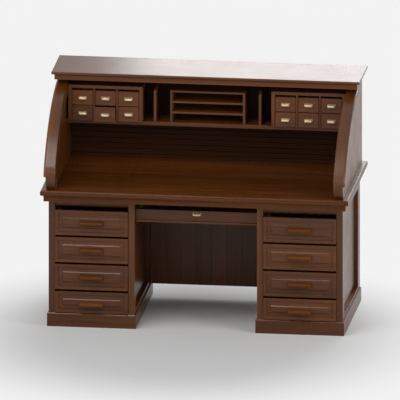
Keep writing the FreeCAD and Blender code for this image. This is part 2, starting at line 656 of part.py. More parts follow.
def roll_cap():
    """Wide rail bent over the front edge of a roll end. Only its inner part goes down to the foot."""
    outer = roll_edges(0, CAP_IN)
    inner = roll_edges(CAP_THICKNESS, CAP_IN)
    base = Part.makeLine(first_point(inner[0]), first_point(outer[0]))
    head = Part.makeLine(last_point(outer[1]), last_point(inner[1]))
    outline = Part.Wire([base] + outer + [head] + [inner[1], inner[0]])
    rail = Part.Face(outline).extrude(V(CAP_WIDTH, 0, 0))
    rail = rail.fuse(cap_foot()).removeSplitter()
    tight_y = FRONT + CAP_FRONT_SETBACK + CAP_END_RADIUS
    roll_y, roll_z = roll_centre(tight_y)

    def along_front(middle, direction):
        on_tight = near(math.hypot(middle.y - tight_y, middle.z - CAP_END_HEIGHT), CAP_END_RADIUS)
        on_roll = near(math.hypot(middle.y - roll_y, middle.z - roll_z), ROLL_RADIUS)
        return (on_tight or on_roll) and abs(direction.x) < 0.1

    def outer_edge(middle, direction):
        return along_front(middle, direction) and near(middle.x, CAP_OUT)

    def inner_edge(middle, direction):
        return along_front(middle, direction) and (near(middle.x, CAP_IN) or near(middle.x, PANEL_OUT))

    rail = rail.makeFillet(CAP_OUTER_ROUND, edges_where(rail, outer_edge))
    rail = rail.makeChamfer(CAP_INNER_CHAMFER, edges_where(rail, inner_edge))
    return rail.cut(curtain_groove(CAP_IN - 1, GROOVE_END))


# ---------------------------------------------------------------- tambour curtain
def lead_rail():
    """Bottom rail of the curtain, with tongues in the grooves and two finger grooves."""
    inner = CURTAIN_INSIDE
    half = LEAD_HEIGHT / 2
    body_end = CAP_IN - LEAD_END_GAP
    body = box(-body_end, body_end, -half, half, inner, inner + LEAD_THICKNESS)

    def front_edge(middle, direction):
        return near(middle.y, -half) and near(middle.z, inner + LEAD_THICKNESS)

    body = body.makeChamfer(LEAD_CHAMFER, edges_where(body, front_edge))
    body = body.fuse(box(-SLAT_END, SLAT_END, -half, half, inner, inner + SLAT_THICKNESS))
    for side in (-1, 1):
        middle = side * FINGER_GROOVE_OFFSET
        groove = box(middle - FINGER_GROOVE_LENGTH / 2, middle + FINGER_GROOVE_LENGTH / 2,
                     -FINGER_GROOVE_HEIGHT / 2, FINGER_GROOVE_HEIGHT / 2,
                     inner + LEAD_THICKNESS - FINGER_GROOVE_DEPTH, inner + LEAD_THICKNESS + 1)
        body = body.cut(groove)
    body.rotate(V(0, 0, 0), V(1, 0, 0), LEAD_REST_ANGLE)
    body.translate(V(0, CURTAIN_Y, CURTAIN_Z))
    return body.removeSplitter()


def path_lengths():
    """Lengths of the curtain's path from the parked rail: the arc, then the bend at the back."""
    arc_length = math.radians(LEAD_REST_ANGLE - bend_start()) * CURTAIN_RADIUS
    return arc_length, math.radians(bend_start() + 90) * BACK_BEND_RADIUS


def tail_bottom():
    """Lowest point of the curtain when the rail is parked."""
    return BEND_Z - (CURTAIN_LENGTH - sum(path_lengths()))


def curtain_point(distance):
    """Place and heading of the curtain, that far behind the lead rail's middle."""
    arc_length, bend_length = path_lengths()
    if distance < arc_length:
        degrees = LEAD_REST_ANGLE - math.degrees(distance / CURTAIN_RADIUS)
        y, z = at_angle(CURTAIN_Y, CURTAIN_Z, CURTAIN_RADIUS, degrees)
        return y, z, degrees
    if distance < arc_length + bend_length:
        degrees = bend_start() - math.degrees((distance - arc_length) / BACK_BEND_RADIUS)
        y, z = at_angle(BEND_Y, BEND_Z, BACK_BEND_RADIUS, degrees)
        return y, z, degrees
    return BACK_RUN_Y, BEND_Z - (distance - arc_length - bend_length), -90


def slat():
    """One slat lying at the origin: flat inside, with its two outer edges broken."""
    half = (SLAT_PITCH - SLAT_GAP) / 2
    low = -SLAT_THICKNESS / 2
    high = SLAT_THICKNESS / 2
    outline = [(-half, low), (half, low), (half, high - SLAT_EDGE), (half - SLAT_EDGE, high),
               (-half + SLAT_EDGE, high), (-half, high - SLAT_EDGE)]
    return prism(outline, -SLAT_END, SLAT_END)


def tambour_slats():
    """Every slat behind the lead rail, down to the curtain's tail below the desktop."""
    slats = []
    for number in range(SLAT_COUNT):
        y, z, degrees = curtain_point(LEAD_HEIGHT / 2 + (number + 0.5) * SLAT_PITCH)
        piece = slat()
        piece.rotate(V(0, 0, 0), V(1, 0, 0), degrees)
        piece.translate(V(0, y, z))
        slats.append(piece)
    return Part.makeCompound(slats)


# ---------------------------------------------------------------- case back and organizer
def case_back():
    """Boarded back between the roll ends."""
    y0 = BACK - CASE_BACK_SETBACK - CASE_BACK
    back = box(-PANEL_IN, PANEL_IN, y0, y0 + CASE_BACK, WRITING_HEIGHT, FRAME_TOP)
    pitch = 2 * PANEL_IN / CASE_BACK_BOARDS
    for number in range(1, CASE_BACK_BOARDS):
        x = -PANEL_IN + number * pitch
        back = back.cut(box(x - CASE_BACK_GROOVE / 2, x + CASE_BACK_GROOVE / 2,
                            y0 + CASE_BACK - CASE_BACK_GROOVE, y0 + CASE_BACK + 1,
                            WRITING_HEIGHT - 1, FRAME_TOP + 1))
    return back


def organizer_shelf():
    """Shelf that carries the drawer banks and the letter rack."""
    y1 = ORGANIZER_BACK + ORGANIZER_BACK_BOARD
    return box(-PANEL_IN, PANEL_IN, y1 - SHELF_DEPTH, y1, SHELF_TOP - SHELF_THICKNESS, SHELF_TOP)


def organizer_back():
    """Thin board behind the organizer that keeps papers out of the curtain."""
    return box(-BANK_OUT, BANK_OUT, ORGANIZER_BACK, ORGANIZER_BACK + ORGANIZER_BACK_BOARD,
               SHELF_TOP, SHELF_TOP + ORGANIZER_BACK_HEIGHT)


def bank_cells():
    """Left edge of each drawer cell of the right-hand bank."""
    return [BANK_IN + BANK_SIDE + number * (BANK_CELL + BANK_DIVIDER) for number in range(BANK_COLUMNS)]


def row_span(row):
    """Lowest and highest Z of a small drawer front, row 0 on top."""
    low = SHELF_TOP + 2 * SEAT_GAP
    if row == 1:
        return low, low + SMALL_LOWER_HEIGHT
    low += SMALL_LOWER_HEIGHT + SMALL_ROW_GAP
    return low, low + SMALL_UPPER_HEIGHT


def row_shelf_top():
    """Upper face of the shelf between the two rows of small drawers."""
    return row_span(0)[0] + ROW_SHELF / 2


def drawer_bank():
    """Open case for six small drawers, standing on the shelf."""
    y0 = BANK_FRONT
    case = box(BANK_IN, BANK_OUT, y0, ORGANIZER_BACK, SHELF_TOP, BANK_HEAD)

    def top_front(middle, direction):
        return near(middle.y, y0) and near(middle.z, BANK_HEAD)

    case = case.makeFillet(BANK_EDGE, edges_where(case, top_front))
    shelf_front = y0 + SMALL_SETBACK + SMALL_BOARD + 1
    shelf_top = row_shelf_top()
    for x in bank_cells():
        x1 = x + BANK_CELL
        lower = box(x, x1, y0 - 1, ORGANIZER_BACK + 1, SHELF_TOP - 1, shelf_top - ROW_SHELF)
        upper = box(x, x1, y0 - 1, ORGANIZER_BACK + 1, shelf_top, BANK_CEILING)
        mouth = box(x, x1, y0 - 1, shelf_front, SHELF_TOP - 1, BANK_CEILING)
        case = case.cut(lower).cut(upper).cut(mouth)
    return case


def small_drawer(column, row, out):
    """Small drawer with a beaded front, in the right-hand bank."""
    low, high = row_span(row)
    middle = bank_cells()[column] + BANK_CELL / 2
    face = BANK_FRONT + SMALL_SETBACK - out
    x0 = middle - SMALL_WIDTH / 2
    x1 = middle + SMALL_WIDTH / 2
    front = box(x0, x1, face, face + SMALL_BOARD, low, high)

    def rim(middle_point, direction):
        return near(middle_point.y, face)

    front = front.makeChamfer(SMALL_BEAD, edges_where(front, rim))
    bottom = SHELF_TOP + SEAT_GAP if row == 1 else row_shelf_top() + SEAT_GAP
    high_side = high - SMALL_HEADROOM
    body = open_box(x0 + SMALL_WALL, x1 - SMALL_WALL, face + SMALL_BOARD, face + SMALL_LENGTH,
                    bottom, high_side, SMALL_WALL, SMALL_WALL)
    return front.fuse(body).removeSplitter()


def cup_pull(x, z, face):
    """Brass cup pull: a back plate with a hood that is open below."""
    y0 = face - CUP_WALL
    plate = box(x - CUP_WIDTH / 2, x + CUP_WIDTH / 2, y0, face, z - CUP_HEIGHT / 2, z + CUP_HEIGHT / 2)
    hood_z = z - CUP_HEIGHT / 2 + 2 * CUP_WALL
    half = CUP_WIDTH / 2 - CUP_WALL
    hollow = half - CUP_WALL
    outer = ring(y0, hood_z, 1.0, CUP_DEPTH, 90, 0, x - half, x + half)
    inner = ring(y0, hood_z, 0.5, CUP_DEPTH - CUP_WALL, 100, -10, x - hollow, x + hollow)
    hood = outer.cut(inner)
    return plate.fuse(hood).removeSplitter()


def letter_rack():
    """Open rack with flat shelves in the middle of the organizer."""
    y0 = RACK_FRONT
    half = RACK_HALF
    top = SHELF_TOP + RACK_HEIGHT
    rack = box(-half, half, y0, ORGANIZER_BACK, SHELF_TOP, top)
    slots = RACK_SHELF_COUNT + 1
    clear = (RACK_HEIGHT - slots * RACK_SHELF) / slots
    for number in range(slots):
        low = SHELF_TOP + number * (clear + RACK_SHELF)
        start = low - 1 if number == 0 else low
        rack = rack.cut(box(-half + RACK_SIDE, half - RACK_SIDE, y0 - 1, ORGANIZER_BACK + 1,
                            start, low + clear))
    return rack


def pigeonhole_divider():
    """Upright board between a bank and the letter rack, its top front corner cut back."""
    y0 = ORGANIZER_BACK - DIVIDER_DEPTH
    top = SHELF_TOP + DIVIDER_HEIGHT
    knee = DIVIDER_CHAMFER / 3
    outline = [(y0, SHELF_TOP), (y0, top - DIVIDER_CHAMFER), (y0 + knee, top - knee),
               (y0 + DIVIDER_CHAMFER, top), (ORGANIZER_BACK, top), (ORGANIZER_BACK, SHELF_TOP)]
    return prism(outline, DIVIDER_IN, DIVIDER_OUT)


# ---------------------------------------------------------------- build every node
os.makedirs("parts", exist_ok=True)

save("desktop", desktop())
save("top_board", top_board())
save("pedestal_front_frames", both_sides(pedestal_front_frame()))
sides = [pedestal_side(True), pedestal_side(False)]
save("pedestal_sides", Part.makeCompound(sides + [mirror(piece) for piece in sides]))
save("pedestal_backs", both_sides(pedestal_back()))
save("pedestal_plinths", both_sides(pedestal_plinth()))
save("modesty_panel", Part.makeCompound([modesty_panel(), tail_guard()]))

outer_runners = [drawer_runner(index) for index in range(DRAWER_COUNT)]
runners = outer_runners + [across_pedestal(piece) for piece in outer_runners] + [centre_runner()]
save("drawer_runners", Part.makeCompound(runners + [mirror(piece) for piece in runners]))

for index in range(DRAWER_COUNT):
    number = str(index + 1)
    save("right_drawer_" + number, pedestal_drawer(index))
    save("right_drawer_" + number + "_pull", drawer_pull(index))
    save("left_drawer_" + number, mirror(pedestal_drawer(index)))
    save("left_drawer_" + number + "_pull", mirror(drawer_pull(index)))

save("centre_drawer", centre_drawer())
centre_pull_z = CENTRE_BOTTOM + CENTRE_HEIGHT - CENTRE_PULL_DROP
save("centre_drawer_pull", cup_pull(0, centre_pull_z, FRONT + CENTRE_SETBACK))

save("roll_ends", both_sides(roll_end()))
save("roll_end_caps", both_sides(roll_cap()))
save("tambour_slats", tambour_slats())
save("tambour_lead_rail", lead_rail())
save("case_back", case_back())

save("organizer_shelf", organizer_shelf())
save("organizer_back", organizer_back())
save("drawer_banks", both_sides(drawer_bank()))
save("letter_rack", letter_rack())
save("pigeonhole_dividers", both_sides(pigeonhole_divider()))

bank_names = {"right": 1, "left": -1}
row_names = ("upper", "lower")
for bank, sign in bank_names.items():
    for row, row_name in enumerate(row_names):
        for column in range(BANK_COLUMNS):
            place = column if sign > 0 else BANK_COLUMNS - 1 - column
            ajar = bank == "left" and row == 1 and column == 1
            out = SMALL_PULLED_OUT if ajar else 0
            drawer = small_drawer(place, row, out)
            span = row_span(row)
            pull = cup_pull(bank_cells()[place] + BANK_CELL / 2, (span[0] + span[1]) / 2,
                            BANK_FRONT + SMALL_SETBACK - out)
            name = bank + "_bank_" + row_name + "_" + str(column + 1)
            save(name, drawer if sign > 0 else mirror(drawer))
            save(name + "_pull", pull if sign > 0 else mirror(pull))
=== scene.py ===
# %% [markdown]
# # A roll-top captain's desk
# The desk is a double-pedestal writing desk with a tambour curtain, in dark stained wood with small
# brass pulls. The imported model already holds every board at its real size, so this notebook only
# dresses it: it rounds and grains the boards, carves the pulls, strings the curtain and lights a
# plain studio. All lengths are in metres. +X runs to the sitter's right, -Y points at the sitter.

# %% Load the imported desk
import bmesh
import bpy
import json
import math
import random
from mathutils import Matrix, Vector


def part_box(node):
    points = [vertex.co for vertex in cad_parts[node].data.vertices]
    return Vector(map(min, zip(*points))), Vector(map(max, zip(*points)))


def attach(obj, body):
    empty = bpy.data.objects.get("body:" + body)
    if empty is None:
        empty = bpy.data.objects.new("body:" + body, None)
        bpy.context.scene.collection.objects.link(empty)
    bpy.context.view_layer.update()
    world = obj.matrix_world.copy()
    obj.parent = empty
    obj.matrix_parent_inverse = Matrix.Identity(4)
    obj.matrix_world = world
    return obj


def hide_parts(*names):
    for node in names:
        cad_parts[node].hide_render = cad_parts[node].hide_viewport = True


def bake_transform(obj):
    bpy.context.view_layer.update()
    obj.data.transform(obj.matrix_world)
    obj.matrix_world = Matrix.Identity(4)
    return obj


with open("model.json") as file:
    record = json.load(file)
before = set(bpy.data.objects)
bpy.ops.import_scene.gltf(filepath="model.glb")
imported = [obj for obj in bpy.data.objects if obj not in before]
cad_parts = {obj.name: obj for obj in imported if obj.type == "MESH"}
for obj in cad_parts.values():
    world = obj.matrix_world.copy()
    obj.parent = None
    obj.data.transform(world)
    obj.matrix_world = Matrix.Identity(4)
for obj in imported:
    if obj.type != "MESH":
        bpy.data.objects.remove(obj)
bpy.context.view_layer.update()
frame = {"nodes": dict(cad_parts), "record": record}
MM = 0.001
scene = bpy.context.scene
scene.view_settings.view_transform = "Standard"

# %% [markdown]
# ## Camera
# The desk is seen from slightly right of its middle and a little above. Its parallel edges stay
# parallel, so the camera is orthographic. It could be aimed with a Track To constraint, but a
# direction worked out from two angles keeps the numbers readable.

# %% Place the camera
VIEW_AZIMUTH = math.radians(7.295)
VIEW_ELEVATION = math.radians(15.5)
VIEW_WIDTH = 2.162
VIEW_DISTANCE = 6.0
VIEW_MIDDLE = Vector((-0.0205, 0.0, 0.6385))

back_to_camera = Vector((math.sin(VIEW_AZIMUTH) * math.cos(VIEW_ELEVATION),
                         -math.cos(VIEW_AZIMUTH) * math.cos(VIEW_ELEVATION),
                         math.sin(VIEW_ELEVATION)))


def add_object(name, data):
    """Object in the scene for a mesh, a curve, a lamp or a camera."""
    thing = bpy.data.objects.new(name, data)
    scene.collection.objects.link(thing)
    return thing


camera_data = bpy.data.cameras.new("camera")
camera_data.type = "ORTHO"
camera_data.ortho_scale = VIEW_WIDTH
camera = add_object("camera", camera_data)
camera.location = VIEW_MIDDLE + VIEW_DISTANCE * back_to_camera
camera.rotation_euler = back_to_camera.to_track_quat("Z", "Y").to_euler()
scene.camera = camera
print("camera at", [round(value, 2) for value in camera.location])

# %% [markdown]
# ## Short ways to build node trees
# Materials and Geometry Nodes are trees of nodes. Writing each link by hand hides what a material
# does, so one helper makes a node, sets its properties and fills its sockets: a value is set, and
# a socket is linked. The other helpers name the nodes that come back again and again.

# %% Node helpers
def fill_sockets(node, sockets):
    """Set or link input sockets of a node."""
    for name, value in sockets.items():
        if isinstance(value, bpy.types.NodeSocket):
            node.id_data.links.new(value, node.inputs[name])
        else:
            node.inputs[name].default_value = value


def add_node(tree, kind, sockets=None, **settings):
    """Make a node, set its properties, then fill its input sockets."""
    node = tree.nodes.new(kind)
    for name, value in settings.items():
        setattr(node, name, value)
    fill_sockets(node, sockets or {})
    return node


def math_node(tree, operation, *values):
    """One sum on up to three values, as an output socket."""
    return add_node(tree, "ShaderNodeMath", dict(enumerate(values)), operation=operation).outputs[0]


def mix_colours(tree, factor, first, second):
    """Blend of two colours, as an output socket."""
    return add_node(tree, "ShaderNodeMix", {0: factor, 6: first, 7: second}, data_type="RGBA").outputs[2]


def spread(tree, value, low, high, to_low=0.0, to_high=1.0, easing="LINEAR"):
    """Stretch a value from one range to another, clamped."""
    sockets = {"Value": value, "From Min": low, "From Max": high, "To Min": to_low, "To Max": to_high}
    return add_node(tree, "ShaderNodeMapRange", sockets, interpolation_type=easing).outputs[0]


def object_place(tree):
    """Place on a piece, as an output socket."""
    return add_node(tree, "ShaderNodeTexCoord").outputs["Object"]


def stretch(tree, place, factors):
    """A place multiplied along each axis, as an output socket."""
    return add_node(tree, "ShaderNodeVectorMath", {0: place, 1: factors}, operation="MULTIPLY").outputs[0]


def noise(tree, place, scale, detail, roughness=0.5):
    """Soft noise from 0 to 1, as an output socket."""
    sockets = {"Vector": place, "Scale": scale, "Detail": detail, "Roughness": roughness}
    return add_node(tree, "ShaderNodeTexNoise", sockets).outputs[0]


def new_group(name, inputs, outputs):
    """Shader node group: a place makes a vector input, and the rest are numbers. Returns tree, inputs and end."""
    tree = bpy.data.node_groups.new(name, "ShaderNodeTree")
    for label, value in inputs.items():
        kind = "NodeSocketVector" if isinstance(value, tuple) else "NodeSocketFloat"
        tree.interface.new_socket(label, in_out="INPUT", socket_type=kind).default_value = value
    for label in outputs:
        tree.interface.new_socket(label, in_out="OUTPUT", socket_type="NodeSocketFloat")
    return tree, tree.nodes.new("NodeGroupInput").outputs, tree.nodes.new("NodeGroupOutput")


def new_material(name):
    """Material with an empty tree and a Principled BSDF wired to its output."""
    material = bpy.data.materials.new(name)
    material.use_nodes = True
    tree = material.node_tree
    tree.nodes.clear()
    surface = add_node(tree, "ShaderNodeBsdfPrincipled")
    add_node(tree, "ShaderNodeOutputMaterial", {"Surface": surface.outputs[0]})
    return material, tree, surface


print("node helpers ready")

# %% [markdown]
# ## Studio
# A pale floor and five softboxes: the key high in front, a wide dim one low in front that reaches
# under the shelf, one at each end of the desk, and one behind it that throws its soft shadow
# forwards and shines on the top board. The world adds a weak even light. Rays that the camera or a
# polished surface sends out see a white background instead, which costs the object no extra light.

# %% World, softboxes and floor
BACKGROUND = (0.888, 0.888, 0.888, 1.0)
AMBIENT = (0.16, 0.16, 0.16, 1.0)
FLOOR_COLOUR = (0.56, 0.56, 0.56, 1.0)
FLOOR_SIZE = 30.0
FLOOR_FADE_CENTRE = (-0.05, -0.50, 0.0)
FLOOR_FADE_START = 0.65
FLOOR_FADE_END = 1.65


def seen_directly(tree):
    """1 for rays from the camera, from polished surfaces and through glass."""
    path = add_node(tree, "ShaderNodeLightPath").outputs
    polished = math_node(tree, "MAXIMUM", path["Is Glossy Ray"], path["Is Transmission Ray"])
    return math_node(tree, "MAXIMUM", path["Is Camera Ray"], polished)


def build_world():
    """White for the eye, dim for the light that it gives."""
    world = bpy.data.worlds.new("studio")
    world.use_nodes = True
    tree = world.node_tree
    tree.nodes.clear()
    colour = mix_colours(tree, seen_directly(tree), AMBIENT, BACKGROUND)
    background = add_node(tree, "ShaderNodeBackground", {"Color": colour})
    add_node(tree, "ShaderNodeOutputWorld", {"Surface": background.outputs[0]})
    scene.world = world


def softbox(name, place, target, width, height, radiance):
    """Rectangular area light that faces its target. Its power follows from its radiance and area."""
    light = bpy.data.lights.new(name, "AREA")
    light.shape = "RECTANGLE"
    light.size, light.size_y = width, height
    light.energy = radiance * math.pi * width * height
    lamp = add_object(name, light)
    lamp.location = place
    lamp.rotation_euler = (Vector(place) - Vector(target)).to_track_quat("Z", "Y").to_euler()


def build_floor():
    """Pale floor that keeps the shadow near the desk and fades into the background further out."""
    mesh = bpy.data.meshes.new("floor")
    half = FLOOR_SIZE / 2
    corners = [(-half, -half, 0), (half, -half, 0), (half, half, 0), (-half, half, 0)]
    mesh.from_pydata(corners, [], [(0, 1, 2, 3)])
    floor = add_object("floor", mesh)
    material, tree, surface = new_material("pale_floor")
    fill_sockets(surface, {"Base Color": FLOOR_COLOUR, "Roughness": 0.9, "Specular IOR Level": 0.1})
    way_out = surface.outputs[0].links[0].to_node
    distance = add_node(tree, "ShaderNodeVectorMath", {0: object_place(tree), 1: FLOOR_FADE_CENTRE},
                        operation="DISTANCE").outputs["Value"]
    far = spread(tree, distance, FLOOR_FADE_START, FLOOR_FADE_END, easing="SMOOTHSTEP")
    direct = math_node(tree, "MULTIPLY", far, seen_directly(tree))
    glow = add_node(tree, "ShaderNodeEmission", {"Color": BACKGROUND})
    mixed = add_node(tree, "ShaderNodeMixShader", {0: direct, 1: surface.outputs[0], 2: glow.outputs[0]})
    fill_sockets(way_out, {"Surface": mixed.outputs[0]})
    mesh.materials.append(material)


build_world()
softbox("key_softbox", (-1.1, -2.3, 4.2), (0.0, 0.0, 0.7), 2.2, 2.0, 6.2)
softbox("front_softbox", (0.0, -3.6, 2.0), (-0.1, 0.0, 0.7), 3.8, 1.2, 1.25)
softbox("right_softbox", (3.2, -1.6, 1.6), (0.4, 0.0, 0.7), 1.8, 1.8, 6.5)
softbox("left_softbox", (-3.2, -1.6, 1.6), (-0.4, 0.0, 0.7), 1.8, 1.8, 4.3)
softbox("back_softbox", (0.72, 2.9, 2.1), (0.2, 0.3, 1.0), 3.15, 1.5, 4.3)
build_floor()
print("studio ready")

# %% [markdown]
# ## Stained wood
# The boards that show have a dark walnut-like stain under a satin varnish, and the grain runs along
# each board. A picture texture would need unwrapping. Instead every face corner carries its place in
# its own board, as an attribute called board: along, across and into the grain. One node group turns
# that place into streaks, growth rings and pores. Another finds the rubbed edges, where the varnish
# is thin, and a third gives the varnish its duller clouds.

# %% Node groups: figure of a board, rubbed edges and varnish
STREAKS_SHARE = 0.5
RINGS_SHARE = 0.26
FINE_SHARE = 0.24
TONE_SHARE = 0.22


def build_board_figure():
    """Streaks, rings and pores at a place in a board."""
    tree, entry, way_out = new_group("board_figure", {"Place": (0, 0, 0), "Tone": 0.0}, ("Figure", "Pores", "Height"))

    def stretched_noise(along, across, detail):
        place = stretch(tree, entry["Place"], (along, across, across))
        return noise(tree, place, scale=1.0, detail=detail, roughness=0.55)

    streaks = spread(tree, stretched_noise(along=1.7, across=30.0, detail=5.0), 0.32, 0.68)
    fine = spread(tree, stretched_noise(along=6.0, across=240.0, detail=3.0), 0.3, 0.7)
    squeezed = stretch(tree, entry["Place"], (0.16, 1.0, 1.0))
    rings = add_node(tree, "ShaderNodeTexWave",
                     {"Vector": squeezed, "Scale": 16.0, "Distortion": 5.0, "Detail": 2.0, "Detail Scale": 0.7},
                     wave_type="RINGS", rings_direction="X", wave_profile="SAW").outputs["Fac"]
    figure = math_node(tree, "MULTIPLY", streaks, STREAKS_SHARE)
    for mark, share in ((rings, RINGS_SHARE), (fine, FINE_SHARE), (entry["Tone"], TONE_SHARE)):
        figure = math_node(tree, "MULTIPLY_ADD", mark, share, figure)
    pores = spread(tree, stretched_noise(along=55.0, across=1300.0, detail=2.0), 0.60, 0.70)
    height = math_node(tree, "SUBTRACT", math_node(tree, "MULTIPLY", fine, 0.25), pores)
    fill_sockets(way_out, {"Figure": figure, "Pores": pores, "Height": height})
    return tree


def build_rubbed_edges():
    """Mask of the rounded edges, broken up so that the wear is uneven."""
    tree, entry, way_out = new_group("rubbed_edges", {"Amount": 0.5}, ("Mask",))
    edge = add_node(tree, "ShaderNodeAttribute", attribute_name="edge").outputs["Fac"]
    uneven = spread(tree, noise(tree, object_place(tree), scale=14.0, detail=3.0), 0.4, 0.62)
    mask = math_node(tree, "MULTIPLY", math_node(tree, "MULTIPLY", edge, uneven), entry["Amount"])
    fill_sockets(way_out, {"Mask": mask})
    return tree


def build_varnish():
    """Roughness of a hand-rubbed varnish: soft clouds, duller in the pores."""
    tree, entry, way_out = new_group("varnish", {"Pores": 0.0, "Smooth": 0.28, "Dull": 0.4}, ("Roughness",))
    cloudy = spread(tree, noise(tree, object_place(tree), scale=7.0, detail=4.0), 0.35, 0.65)
    base = add_node(tree, "ShaderNodeMix", {0: cloudy, 2: entry["Smooth"], 3: entry["Dull"]}).outputs[0]
    fill_sockets(way_out, {"Roughness": math_node(tree, "MULTIPLY_ADD", entry["Pores"], 0.25, base)})
    return tree


board_figure = build_board_figure()
rubbed_edges = build_rubbed_edges()
varnish = build_varnish()
print("wood groups:", board_figure.name, rubbed_edges.name, varnish.name)

# %% Wood materials
VARNISH_IOR = 1.4
GRAIN_DEPTH = 0.3 * MM
PORE_STRENGTH = 0.55
PORE_SHADE = 0.25
TURN_TO_Y = (0.0, 0.0, math.radians(90))
TURN_TO_Z = (0.0, math.radians(90), 0.0)


def wood(name, colours, smooth=0.26, dull=0.38, wear=0.6, shine=0.5, turn=None):
    """Board in a dark, a light and a rubbed colour. It reads the board attribute, or turned Object coordinates."""
    dark, light, rubbed = colours
    material, tree, surface = new_material(name)
    if turn is None:
        place = add_node(tree, "ShaderNodeAttribute", attribute_name="board").outputs["Vector"]
        tone = add_node(tree, "ShaderNodeAttribute", attribute_name="tone").outputs["Fac"]
    else:
        place = add_node(tree, "ShaderNodeMapping", {"Vector": object_place(tree), "Rotation": turn}).outputs[0]
        tone = 0.0
    figure = add_node(tree, "ShaderNodeGroup", {"Place": place, "Tone": tone}, node_tree=board_figure)
    edges = add_node(tree, "ShaderNodeGroup", {"Amount": wear}, node_tree=rubbed_edges)
    polish = add_node(tree, "ShaderNodeGroup", {"Pores": figure.outputs["Pores"], "Smooth": smooth, "Dull": dull},
                      node_tree=varnish)
    colour = mix_colours(tree, figure.outputs["Figure"], dark, light)
    pores = math_node(tree, "MULTIPLY", figure.outputs["Pores"], PORE_STRENGTH)
    colour = mix_colours(tree, pores, colour, tuple(value * PORE_SHADE for value in dark[:3]) + (1.0,))
    colour = mix_colours(tree, edges.outputs["Mask"], colour, rubbed)
    bump = add_node(tree, "ShaderNodeBump", {"Strength": 0.35, "Distance": GRAIN_DEPTH,
                                             "Height": figure.outputs["Height"]})
    fill_sockets(surface, {"Base Color": colour, "Roughness": polish.outputs["Roughness"],
                           "Normal": bump.outputs[0], "IOR": VARNISH_IOR, "Specular IOR Level": shine})
    return material


RUBBED = (0.20, 0.085, 0.030, 1.0)
STAIN = ((0.050, 0.0135, 0.0022, 1.0), (0.118, 0.0350, 0.0065, 1.0), RUBBED)
# The organizer's stain is the case stain made lighter and warmer: painted light, making up for the shade that the top
# board throws on the banks, rack and small drawers.
PAINTED_LIGHT_STAIN = ((0.060, 0.0160, 0.0024, 1.0), (0.142, 0.0410, 0.0070, 1.0), RUBBED)
RED_STAIN = ((0.050, 0.0140, 0.0015, 1.0), (0.105, 0.0310, 0.0040, 1.0), RUBBED)
# The curtain's stain is the case stain made much darker: painted shade, for the shade that the organizer and top board
# throw on the slats and the lead rail.
SHADE_DARKENED_STAIN = ((0.018, 0.0045, 0.0008, 1.0), (0.045, 0.0130, 0.0024, 1.0), RUBBED)
# Near black for the organizer's back: painted shade, standing in for the dark inside of the pigeonholes.
PAINTED_SHADE_BLACK = ((0.010, 0.0028, 0.0005, 1.0), (0.022, 0.0062, 0.0011, 1.0), RUBBED)
UNSTAINED = ((0.20, 0.105, 0.042, 1.0), (0.36, 0.205, 0.090, 1.0), (0.42, 0.26, 0.13, 1.0))
case_wood = wood("case_wood", STAIN, smooth=0.27, dull=0.33)
side_wood = wood("side_wood", STAIN, smooth=0.27, dull=0.33, shine=0.38)
top_wood = wood("top_wood", STAIN, smooth=0.31, dull=0.33, shine=0.44)
writing_wood = wood("writing_wood", STAIN, smooth=0.24, dull=0.34, shine=0.25)
drawer_wood = wood("drawer_wood", STAIN)
# Organizer boards and small drawers: case stain lightened as painted light.
organizer_wood = wood("organizer_wood", PAINTED_LIGHT_STAIN)
pull_wood = wood("pull_wood", RED_STAIN, smooth=0.40, dull=0.50, shine=0.15)
# Curtain slats and lead rail: darkened stain as painted shade.
tambour_wood = wood("tambour_wood", SHADE_DARKENED_STAIN, smooth=0.5, dull=0.6, shine=0.15)
box_wood = wood("box_wood", UNSTAINED, smooth=0.5, dull=0.65, wear=0.3)
inside_wood = wood("inside_wood", STAIN, smooth=0.5, dull=0.6, turn=TURN_TO_Z)
# Organizer back: near-black wood as painted shade.
painted_shade_back_wood = wood("painted_shade_back_wood", PAINTED_SHADE_BLACK, smooth=0.5, dull=0.6, shine=0.12, turn=TURN_TO_Z)
runner_wood = wood("runner_wood", UNSTAINED, smooth=0.5, dull=0.65, turn=TURN_TO_Y)
print("woods:", [material.name for material in bpy.data.materials if material.name.endswith("wood")])

# %% [markdown]
# ## Brass
# The small pulls are lacquered brass. Brass is a metal, so its colour is the colour of its
# reflections. Soft clouds of tarnish change the colour and the roughness, and faint brushing
# shows as bump.

# %% Brass material
CLEAN_BRASS = (0.46, 0.35, 0.23, 1.0)
TARNISHED_BRASS = (0.32, 0.23, 0.14, 1.0)
RUBBED_BRASS = (0.52, 0.42, 0.30, 1.0)
BRUSH_DEPTH = 0.1 * MM


def build_brass():
    """Lacquered brass with a little tarnish."""
    material, tree, surface = new_material("brass")
    place = object_place(tree)
    clouds = noise(tree, place, scale=120.0, detail=4.0)
    lines = noise(tree, stretch(tree, place, (60.0, 900.0, 2400.0)), scale=1.0, detail=2.0)
    colour = mix_colours(tree, spread(tree, clouds, 0.45, 0.75), CLEAN_BRASS, TARNISHED_BRASS)
    edges = add_node(tree, "ShaderNodeGroup", {"Amount": 0.8}, node_tree=rubbed_edges)
    colour = mix_colours(tree, edges.outputs["Mask"], colour, RUBBED_BRASS)
    bump = add_node(tree, "ShaderNodeBump", {"Strength": 0.2, "Distance": BRUSH_DEPTH, "Height": lines})
    fill_sockets(surface, {"Base Color": colour, "Roughness": spread(tree, clouds, 0.3, 0.8, 0.45, 0.60),
                           "Normal": bump.outputs[0], "Metallic": 1.0})
    return material


brass = build_brass()
print("metal:", brass.name)

